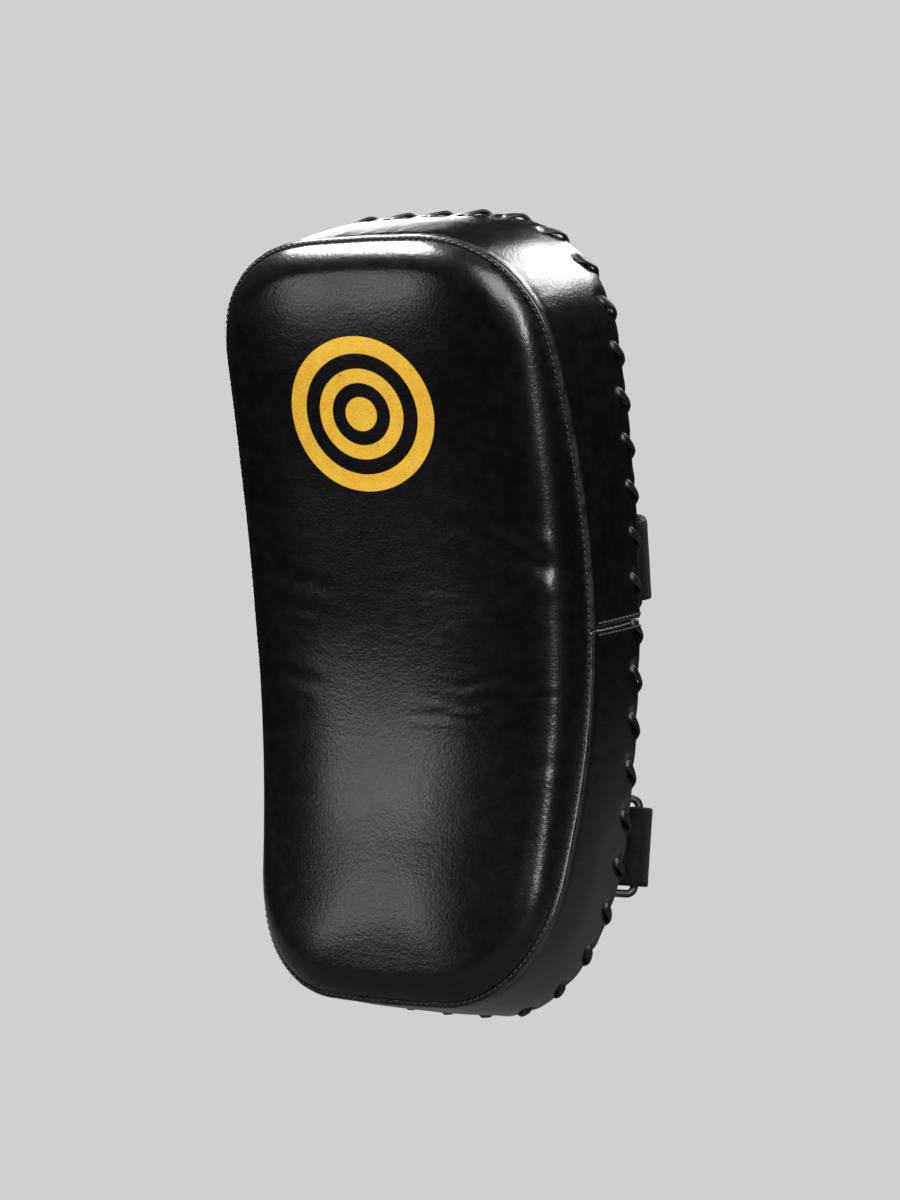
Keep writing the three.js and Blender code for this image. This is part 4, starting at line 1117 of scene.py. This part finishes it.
def surface_over(piece, lines):
    """Lines in x and s laid on the back of a piece, each with its outward directions."""
    mesh = piece.data
    tree = BVHTree.FromPolygons([v.co for v in mesh.vertices], [p.vertices[:] for p in mesh.polygons])
    laid = []
    for x, s in lines:
        ups = outward(s)
        start = bend(x, s, RIM_DEPTH + 30.0) * MM
        points = []
        for origin, up in zip(start, ups):
            hit = tree.ray_cast(Vector(origin), Vector(-up))[0]
            points.append(np.array(hit) / MM if hit else np.array(origin) / MM - up * 20)
        laid.append((np.array(points), ups))
    return laid


# ------------------------------------------------------------------ strips and fittings


class Seat:
    """A frame standing on the back panel: x across, y away from the panel, z up the pad."""

    def __init__(self, height):
        angle = height / (BEND_UPPER if height > 0 else BEND_LOWER)
        self.origin = bend(0.0, height, RIM_DEPTH)
        self.axes = np.array([
            [1, 0, 0],
            [0, math.cos(angle), math.sin(angle)],
            [0, -math.sin(angle), math.cos(angle)],
        ])

    def place(self, points):
        return self.origin + np.asarray(points, float) @ self.axes

    def metres(self, x, y, z=0.0):
        return tuple(self.place((x, y, z)) * MM)


def arc(centre, radii, start, end, steps):
    angle = np.radians(np.linspace(start, end, steps + 1))
    return np.stack([centre[0] + radii[0] * np.cos(angle), centre[1] + radii[1] * np.sin(angle)], axis=-1)


class Band:
    """A flat strip on a seat: its middle line in x and y, and its width along z."""

    def __init__(self, seat, line, thickness, half_width, step=1.2):
        self.seat, self.thickness, self.half_width = seat, thickness, half_width
        steps = np.linalg.norm(np.diff(line, axis=0), axis=1)
        line = line[np.concatenate([[True], steps > 1e-6])]
        distance = run_length(line)
        self.length = distance[-1]
        self.at = np.linspace(0, self.length, max(2, int(self.length / step)) + 1)
        self.line = self.evened(sample(self.at, distance, line))
        tangent = unit(np.gradient(self.line, axis=0))
        self.normal = np.stack([-tangent[:, 1], tangent[:, 0]], axis=-1)

    @staticmethod
    def evened(line):
        for _ in range(3):
            line[1:-1] = (line[:-2] + 2 * line[1:-1] + line[2:]) / 4
        return line

    def points(self, along, across, lift):
        """Points and outward directions at distances along and across, lifted off the middle."""
        along, across, lift = np.broadcast_arrays(*(np.asarray(v, float) for v in (along, across, lift)))
        normal = sample(along, self.at, self.normal)
        flat = sample(along, self.at, self.line) + normal * lift[..., None]
        local = np.concatenate([flat, across[..., None]], axis=-1)
        ups = np.concatenate([normal, np.zeros_like(across)[..., None]], axis=-1)
        return self.seat.place(local), unit(ups @ self.seat.axes)

    def widths(self, along):
        if callable(self.half_width):
            return self.half_width(along)
        return np.full_like(along, self.half_width)

    def build(self, name, material, slot, relief=None, edge=0.75):
        """The strip with rounded edges. relief gives extra thickness from along, across and side."""
        flat = np.linspace(-1, 1, 25)[1:-1]
        bulge = np.radians(np.linspace(-60, 60, 5))
        over = [(share, 1.0, 0.0) for share in flat]
        right = [(1.0, math.sin(-a), math.cos(a)) for a in bulge]
        under = [(share, -1.0, 0.0) for share in flat[::-1]]
        left = [(-1.0, math.sin(a), -math.cos(a)) for a in bulge]
        section = np.array(over + right + under + left)
        along = self.at[:, None]
        widths = self.widths(self.at)[:, None]
        half = self.thickness / 2
        across = section[None, :, 0] * (widths - edge) + section[None, :, 2] * edge
        lift = np.broadcast_to(section[None, :, 1] * half, across.shape)
        if relief is not None:
            lift = lift + np.sign(section[None, :, 1]) * relief(along, across, widths)
        sections, _ = self.points(np.broadcast_to(along, across.shape), across, lift)
        points, faces = tube(sections)
        flow = np.stack([np.broadcast_to(along, across.shape), across, lift], axis=-1).reshape(-1, 3) * MM
        worn = smooth(np.abs(across) / widths, 0.9, 1.0)
        return make(name, points, faces, material, slot, flow=flow, rubbed=0.5 * worn.ravel())

    def seam(self, along, across, side=1.0, pitch=3.2, radius=0.42):
        """Stitches on one side of the strip, along a line given by its along and across."""
        lift = side * (self.thickness / 2 + 0.05)
        points, ups = self.points(along, across, lift)
        return sewing(points, ups * side, pitch, radius=radius)

    def seams(self, along, across):
        """The same stitches on both sides."""
        return [self.seam(along, across, side) for side in (-1.0, 1.0)]


def box_line(start, end, half, count=60):
    """A closed rectangle of stitching, as along and across."""
    corners = np.array([(start, -half), (end, -half), (end, half), (start, half), (start, -half)])
    return sample(np.linspace(0, 4, 4 * count + 1), np.arange(5), corners).T


def lathe(seat, centre, profile, segments=40):
    """Sections of a turned shape, from its radius and its height along the seat's y."""
    angle = 2 * np.pi * np.arange(segments) / segments
    sections = []
    for radius, height in profile:
        x, z = radius * np.cos(angle), radius * np.sin(angle)
        ring = np.stack([x, np.full(segments, height), z], axis=-1)
        sections.append(seat.place(ring + np.array(centre)))
    return np.array(sections)


def rivet(node, height, x, z, top):
    """A domed tubular rivet with a rolled brim and a small dimple."""
    head = [(radius, top + GAP + rise) for radius, rise in RIVET_HEAD]
    points, faces = tube(lathe(Seat(height), (x, 0, z), [*RIVET_TAIL, *head]))
    piece = make(f"{node}_domed", points, faces, STEEL, "rivet_steel")
    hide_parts(node)
    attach(piece, "pad")


def rivets():
    for side, x in (("left", -TAB_RIVET[0]), ("right", TAB_RIVET[0])):
        for end, z in (("lower", -TAB_RIVET[1]), ("upper", TAB_RIVET[1])):
            rivet(f"grip_rivet_{side}_{end}", GRIP_SEAT, x, z, GRIP_STRAP_THICKNESS + GAP)
    kinds = (("strap", STRAP_RIVET, STRAP_THICKNESS), ("ring", RING_RIVET, RING_TAB["thickness"]))
    for station, place in STATIONS.items():
        for end, sign in (("a", -1), ("b", 1)):
            for kind, (x, z), clamped in kinds:
                name = f"{kind}_rivet_{station}_{end}"
                rivet(name, place["height"], x, sign * z, clamped + GAP)


# ------------------------------------------------------------------ hand grip


def grip_band():
    """One leather strip, from a riveted tab up through the handle and down to the other tab."""
    foot, rise = 6.0, GRIP_STRAP_THICKNESS / 2 + GAP
    right = np.concatenate([
        [(TAB_OUTER, rise)],
        arc((GRIP_RISER + foot, rise + foot), (foot, foot), 270, 180, 8),
        arc((GRIP_RISER - GRIP_BEND, GRIP_AXIS - GRIP_BEND), (GRIP_BEND, GRIP_BEND), 0, 90, 10),
    ])
    line = np.concatenate([right, (right * (-1, 1))[::-1]])
    neck_start, neck_end = TAB_OUTER - GRIP_RISER - 6, TAB_OUTER - GRIP_RISER + 10

    def width(along):
        from_end = np.minimum(along, band.length - along)
        half = lerp(TAB_HALF_WIDTH, GRIP_STRAP_HALF_WIDTH, smooth(from_end, neck_start, neck_end))
        cut = np.clip(TAB_CORNER - from_end, 0, TAB_CORNER)
        return half - (TAB_CORNER - np.sqrt(TAB_CORNER**2 - cut**2))

    seat = Seat(GRIP_SEAT)
    band = Band(seat, line, GRIP_STRAP_THICKNESS, width, step=0.9)

    def relief(along, across, widths):
        groove = hump(widths - np.abs(across) - 2.8, 0.9)
        return -0.35 * groove + 0.12 * DENTS(along / 9, across / 9)

    start, end = seat.metres(0, 2.5), seat.metres(0, 14)
    piece = band.build("grip_band", TRIM, "trim_leather", relief)
    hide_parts("grip_tab_left", "grip_tab_right", "grip_strap")
    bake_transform(piece)
    rows = []
    for sign in (-1, 1):
        for first, last in ((3.0, 60.0), (band.length - 60.0, band.length - 3.0)):
            along = np.linspace(first, last, 300)
            rows += band.seams(along, sign * (band.widths(along) - 2.8))
    for end_line in (3.0, band.length - 3.0):
        half = band.widths(np.array([end_line]))[0] - 3.0
        across = np.linspace(-half, half, 60)
        rows += band.seams(np.full_like(across, end_line), across)
    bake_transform(stitched("grip_band_thread", rows, "trim_leather"))


def grip_handle():
    """A padded leather sleeve, gathered round the strap at both ends, with a raised seam."""
    seat, lengths, segments = Seat(GRIP_SEAT), 150, 120
    curl = np.linspace(0, np.pi / 2, 12)
    corner = 5.0
    end_x = SLEEVE_HALF_LENGTH - corner + corner * np.cos(curl)
    end_radius = SLEEVE_RADIUS - corner + corner * np.sin(curl)
    body = np.linspace(-1, 1, lengths)
    x = np.concatenate([[end_x[0] - 2.0, end_x[0]], end_x, body[::-1] * (SLEEVE_HALF_LENGTH - corner)])
    x = np.concatenate([x, -end_x[::-1], [-end_x[0], -end_x[0] + 2.0]])
    swell = 0.5 * (1 - body**2)
    radius = np.concatenate([[6.0, 7.0], end_radius, SLEEVE_RADIUS + swell])
    radius = np.concatenate([radius, end_radius[::-1], [7.0, 6.0]])
    angle = 2 * np.pi * np.arange(segments) / segments
    from_end = (SLEEVE_HALF_LENGTH - np.abs(x))[:, None]
    pleats = 0.5 * np.cos(angle * 18 + 0.6 * np.sin(3 * angle))[None, :] * np.exp(-from_end / 6)
    folds = 0.35 * DENTS(x[:, None] / 7.5, 4 * np.cos(angle)[None, :]) * smooth(from_end, 2, 8)
    turned = np.abs((angle[None, :] - 1.5 * np.pi + np.pi) % (2 * np.pi) - np.pi) * SLEEVE_RADIUS
    seam = smooth(from_end, 1, 4) * (0.8 * hump(turned - 1.9, 1.3) - 0.6 * hump(turned, 0.8))
    r = radius[:, None] + pleats + folds + seam
    ring = np.stack([
        np.broadcast_to(x[:, None], r.shape),
        GRIP_AXIS + r * np.sin(angle),
        r * np.cos(angle),
    ], axis=-1)
    points, faces = tube(seat.place(ring))
    rubbed = 0.25 * smooth(np.abs(pleats), 0.2, 0.5) + 0.5 * hump(turned - 2.0, 1.0) * (from_end > 3)
    rubbed = np.broadcast_to(rubbed, r.shape).ravel()
    piece = make("grip_handle", points, faces, TRIM, "trim_leather", rubbed=rubbed)
    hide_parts("grip_sleeve")
    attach(piece, "grip")
    rows = []
    for z in (-3.4, 3.4):
        along = np.linspace(-SLEEVE_HALF_LENGTH + 6, SLEEVE_HALF_LENGTH - 6, 200)
        under = np.full(200, GRIP_AXIS - SLEEVE_RADIUS - 0.15)
        local = np.stack([along, under, np.full(200, z)], axis=-1)
        rows.append(sewing(seat.place(local), np.tile(-seat.axes[1], (200, 1)), pitch=3.4))
    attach(stitched("grip_handle_thread", rows, "trim_leather"), "grip")


# ------------------------------------------------------------------ forearm straps


def arch_of(place):
    """The strap's arch: the centre, radius and rise of its ellipse, and where it ends."""
    end_x = place["bar"] + RING_REACH * math.cos(RING_LEAN) - TURN_RADIUS
    end_y = BAR_HEIGHT + RING_REACH * math.sin(RING_LEAN) + TURN_SHANK + TURN_JOINT
    rise = place["top"] - ARCH_SPRING
    start = math.asin((end_y - ARCH_SPRING) / rise)
    radius = (end_x - place["left"]) / (1 + math.cos(start))
    return place["left"] + radius, radius, rise, math.degrees(start)


def arch_line(place, offset, start, end, steps):
    centre, radius, rise, _ = arch_of(place)
    line = arc((centre, ARCH_SPRING), (radius, rise), start, end, steps)
    normal = (line - (centre, ARCH_SPRING)) / (radius**2, rise**2)
    return line + unit(normal) * offset


def selvedge(along, across, widths):
    """Webbing is a little thicker at its woven edges, and never quite flat."""
    return 0.16 * hump(widths - np.abs(across) - 1.4, 1.2) + 0.10 * DENTS(along / 14, across / 14)


def strap_pieces(station, place):
    seat = Seat(place["height"])
    ring_x = place["bar"] + RING_REACH * math.cos(RING_LEAN)
    ring_y = BAR_HEIGHT + RING_REACH * math.sin(RING_LEAN)
    rest = GAP + STRAP_THICKNESS / 2
    foot = ARCH_SPRING - rest
    line = np.concatenate([
        [(STRAP_END, rest)],
        arc((place["left"] + foot, ARCH_SPRING), (foot, foot), 270, 180, 10)[:-1],
        arch_line(place, 0.0, 180, arch_of(place)[3], 60),
    ])
    band = Band(seat, line, STRAP_THICKNESS, STRAP_HALF_WIDTH)
    strap = band.build(f"{station}_strap_woven", WEBBING, "strap_webbing", selvedge)
    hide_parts(f"{station}_strap")
    seat.metres(66, 0)
    seat.metres(ring_x - TURN_RADIUS, 0)
    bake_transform(strap)
    along, across = box_line(3.0, 14.0, STRAP_HALF_WIDTH - 3.0)
    rows = band.seams(along, across)
    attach(stitched(f"{station}_strap_thread", rows, "strap_webbing"), "pad")

    loops_offset = STRAP_THICKNESS / 2 + GAP + PATCH_THICKNESS / 2
    hooks_offset = loops_offset + PATCH_THICKNESS + PATCH_AIR
    flap_offset = hooks_offset + PATCH_THICKNESS / 2 + GAP + STRAP_THICKNESS / 2
    line = np.concatenate([
        [(ring_x - TURN_RADIUS, ring_y + TURN_SHANK)],
        arc((ring_x, ring_y), (TURN_RADIUS, TURN_RADIUS), 180, 360, 16),
        [(ring_x + TURN_RADIUS, ring_y + TURN_SHANK + TURN_JOINT)],
        arch_line(place, flap_offset, *FLAP_DEGREES, 40),
    ])

    def flap_width(distance):
        """The free end is cut round."""
        cut = np.clip(FLAP_CORNER - (flap_band.length - distance), 0, FLAP_CORNER)
        return STRAP_HALF_WIDTH - (FLAP_CORNER - np.sqrt(FLAP_CORNER**2 - cut**2)) * 0.9

    flap_band = Band(seat, line, STRAP_THICKNESS, flap_width)
    flap = flap_band.build(f"{station}_flap_woven", WEBBING, "strap_webbing", selvedge)
    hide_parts(f"{station}_strap_turn", f"{station}_strap_flap")
    hinge_y = ring_y + TURN_SHANK
    blend_ends = seat.metres(0, hinge_y), seat.metres(0, hinge_y + 8)
    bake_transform(flap)

    for kind, offset, degrees, material, side, body in (
        ("hook", hooks_offset, HOOK_DEGREES, HOOKS, 1.0, f"{station}_flap"),
        ("loop", loops_offset, LOOP_DEGREES, LOOPS, -1.0, "pad"),
    ):
        line = arch_line(place, offset, *degrees, 50)
        patch_band = Band(seat, line, PATCH_THICKNESS, PATCH_HALF_WIDTH, step=0.8)

        def tufted(along, across, widths):
            tufts = 0.14 * FINE(along / 0.9, across / 1.6)
            return tufts - 0.3 * hump(widths - np.abs(across) - 2.0, 0.8)

        patch = patch_band.build(f"{station}_{kind}_pile", material, "hook_and_loop", tufted)
        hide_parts(f"{station}_{kind}_patch")
        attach(patch, body)
        rows = [patch_band.seam(*box_line(2.0, patch_band.length - 2.0, PATCH_HALF_WIDTH - 2.0), side)]
        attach(stitched(f"{station}_{kind}_thread", rows, "hook_and_loop"), body)
        if kind == "hook":
            start = flap_band.length - patch_band.length - 6.0
            box = box_line(start, flap_band.length - 4.0, PATCH_HALF_WIDTH - 2.0)
            rows = [flap_band.seam(*box, -1.0)]
            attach(stitched(f"{station}_flap_thread", rows, "strap_webbing"), body)


def ring_frame(station, place):
    """A moulded rectangular ring with rounded bars, leaning over from its inner bar."""
    seat = Seat(place["height"])
    half = RING_HALF_LENGTH - RING_BAR[0] / 2
    corner = RING_CORNER
    centres = (
        (RING_REACH - corner, half - corner, 0),
        (corner, half - corner, 90),
        (corner, -half + corner, 180),
        (RING_REACH - corner, -half + corner, 270),
    )
    parts = [arc((cx, cz), (corner, corner), a, a + 90, 10) for cx, cz, a in centres]
    path = np.concatenate(parts)
    path = np.concatenate([path, path[:1]])
    distance = run_length(path)
    path = sample(np.linspace(0, distance[-1], 180), distance, path)
    reach = np.array([math.cos(RING_LEAN), math.sin(RING_LEAN), 0])
    rise = np.array([-math.sin(RING_LEAN), math.cos(RING_LEAN), 0])
    local = np.array([place["bar"], BAR_HEIGHT, 0]) + path[:, :1] * reach + path[:, 1:] * [0, 0, 1]
    ups = np.tile(rise, (len(local), 1))
    sections = sweep(seat.place(local), ups @ seat.axes, RING_BAR[0] / 2, RING_BAR[1] / 2, sides=20)
    sections[-1] = sections[0]
    piece = make(f"{station}_ring_moulded", *hoop(sections), PLASTIC, "ring_plastic")
    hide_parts(f"{station}_ring")
    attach(piece, f"{station}_ring")


def ring_tab(station, place):
    """Leather folded round the ring's inner bar, sewn and riveted through both layers."""
    seat, bar = Seat(place["height"]), place["bar"]
    half = TAB_LEATHER / 2
    low, high = GAP + half, GAP + RING_TAB["thickness"] - half
    radius = RING_TAB["loop"] - half
    line = np.concatenate([
        [(RING_TAB["inner"], low)],
        [(bar - 6, lerp(low, BAR_HEIGHT - radius, 0.8))],
        arc((bar, BAR_HEIGHT), (radius, radius), -90, RING_TAB["leave"], 20),
        [(bar - 2.2 * RING_TAB["loop"], high), (RING_TAB["inner"], high)],
    ])
    band = Band(seat, line, TAB_LEATHER, RING_TAB["half_width"])

    def relief(along, across, widths):
        return -0.3 * hump(widths - np.abs(across) - 2.6, 0.9) + 0.1 * DENTS(along / 8, across / 8)

    piece = band.build(f"{station}_ring_tab_folded", TRIM, "trim_leather", relief)
    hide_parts(f"{station}_ring_tab")
    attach(piece, "pad")
    along, across = box_line(band.length - 13.0, band.length - 2.5, RING_TAB["half_width"] - 2.6)
    rows = [band.seam(along, across, 1.0)]
    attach(stitched(f"{station}_ring_tab_thread", rows, "trim_leather"), "pad")


forearm_cushion()
rivets()
grip_band()
grip_handle()
for station_name, station_place in STATIONS.items():
    strap_pieces(station_name, station_place)
    ring_frame(station_name, station_place)
    ring_tab(station_name, station_place)
for hidden in ("front_foam", "middle_foam", "rear_foam", "forearm_foam", "grip_core"):
    slots = frame["nodes"][hidden].data.materials
    slots.clear()
    slots.append(FOAM)

# ------------------------------------------------------------------ studio

BACKGROUND = 0.63
CAMERA = {"azimuth": 32.0, "elevation": 6.61, "roll": 3.08, "distance": 1.699, "lens": 101.2}
CAMERA_SHIFT = (0.0056, 0.0134)
TARGET = Vector((0, -REST * MM, 0))
FLOOR = {"radius": 1.1, "solid": 0.20, "gone": 1.0, "glow": 0.25}
# each light: name, direction, distance, width, height, watts, how far above the target it aims
SOFTBOXES = (
    ("front_left", (-0.54, -0.83, 0.13), 1.6, 0.42, 0.30, 1.5, -0.07),
    ("overhead", (-0.50, -0.20, 0.82), 1.2, 0.9, 0.34, 42, 0.16),
    ("right_strip", (0.83, -0.5, 0.22), 1.3, 0.12, 0.7, 7.5, 0.05),
    ("fill", (0.55, -0.62, 0.56), 1.7, 0.9, 0.9, 18, 0),
    ("behind_high", (0.3, 0.8, 0.7), 1.6, 0.8, 0.6, 20, 0),
    ("behind_low", (-0.6, 0.8, 0.1), 1.6, 0.5, 0.8, 11, 0),
)


def camera():
    a, e, r = (math.radians(CAMERA[key]) for key in ("azimuth", "elevation", "roll"))
    back = Vector((math.sin(a) * math.cos(e), -math.cos(a) * math.cos(e), math.sin(e)))
    right = Vector((math.cos(a), math.sin(a), 0))
    up = back.cross(right)
    level = Matrix((right, up, back)).transposed()
    data = bpy.data.cameras.new("camera")
    data.lens = CAMERA["lens"]
    data.shift_x, data.shift_y = CAMERA_SHIFT
    made = bpy.data.objects.new("camera", data)
    made.matrix_world = level.to_4x4() @ Matrix.Rotation(-r, 4, "Z")
    made.location = TARGET + back * CAMERA["distance"]
    bpy.context.scene.collection.objects.link(made)
    bpy.context.scene.camera = made


def softbox(name, direction, distance, width, height, power, above):
    data = bpy.data.lights.new(name, "AREA")
    data.shape = "RECTANGLE"
    data.size, data.size_y = width, height
    data.energy = power
    made = bpy.data.objects.new(name, data)
    away = Vector(direction).normalized()
    made.location = TARGET + Vector((0, 0, above)) + away * distance
    made.rotation_euler = away.to_track_quat("Z", "Y").to_euler()
    bpy.context.scene.collection.objects.link(made)


def world():
    """A pale backdrop for the camera, and a dim room for the reflections."""
    made = bpy.data.worlds.new("studio")
    made.use_nodes = True
    tree = made.node_tree
    seen = tree.nodes["Background"]
    seen.inputs["Color"].default_value = grey(BACKGROUND)
    room = tree.nodes.new("ShaderNodeBackground")
    room.inputs["Color"].default_value = grey(0.012)
    path = tree.nodes.new("ShaderNodeLightPath")
    mix = tree.nodes.new("ShaderNodeMixShader")
    tree.links.new(path.outputs["Is Camera Ray"], mix.inputs[0])
    tree.links.new(room.outputs[0], mix.inputs[1])
    tree.links.new(seen.outputs[0], mix.inputs[2])
    tree.links.new(mix.outputs[0], tree.nodes["World Output"].inputs["Surface"])
    bpy.context.scene.world = made


def floor():
    """A pale round floor that only reflections see, fading out toward its edge."""
    work = bmesh.new()
    bmesh.ops.create_circle(work, cap_ends=True, segments=96, radius=FLOOR["radius"])
    mesh = bpy.data.meshes.new("floor")
    work.to_mesh(mesh)
    work.free()
    made = bpy.data.objects.new("floor", mesh)
    made.location.z = CAD_LOW.z - 0.5 * MM
    bpy.context.scene.collection.objects.link(made)
    shader = Shader("pale_floor", roughness=0.9, specular_ior_level=0.1)
    shader.surface.inputs["Base Color"].default_value = grey(0.01)
    shader.surface.inputs["Emission Color"].default_value = grey(BACKGROUND)
    shader.surface.inputs["Emission Strength"].default_value = FLOOR["glow"]
    away = shader.length(shader.place)
    shader.use(alpha=shader.fade(away, FLOOR["solid"], FLOOR["gone"], 1.0, 0.0))
    mesh.materials.append(shader.material)
    made.visible_camera = False
    made.visible_diffuse = False


bpy.context.scene.view_settings.view_transform = "Standard"
camera()
world()
floor()
for light in SOFTBOXES:
    softbox(*light)
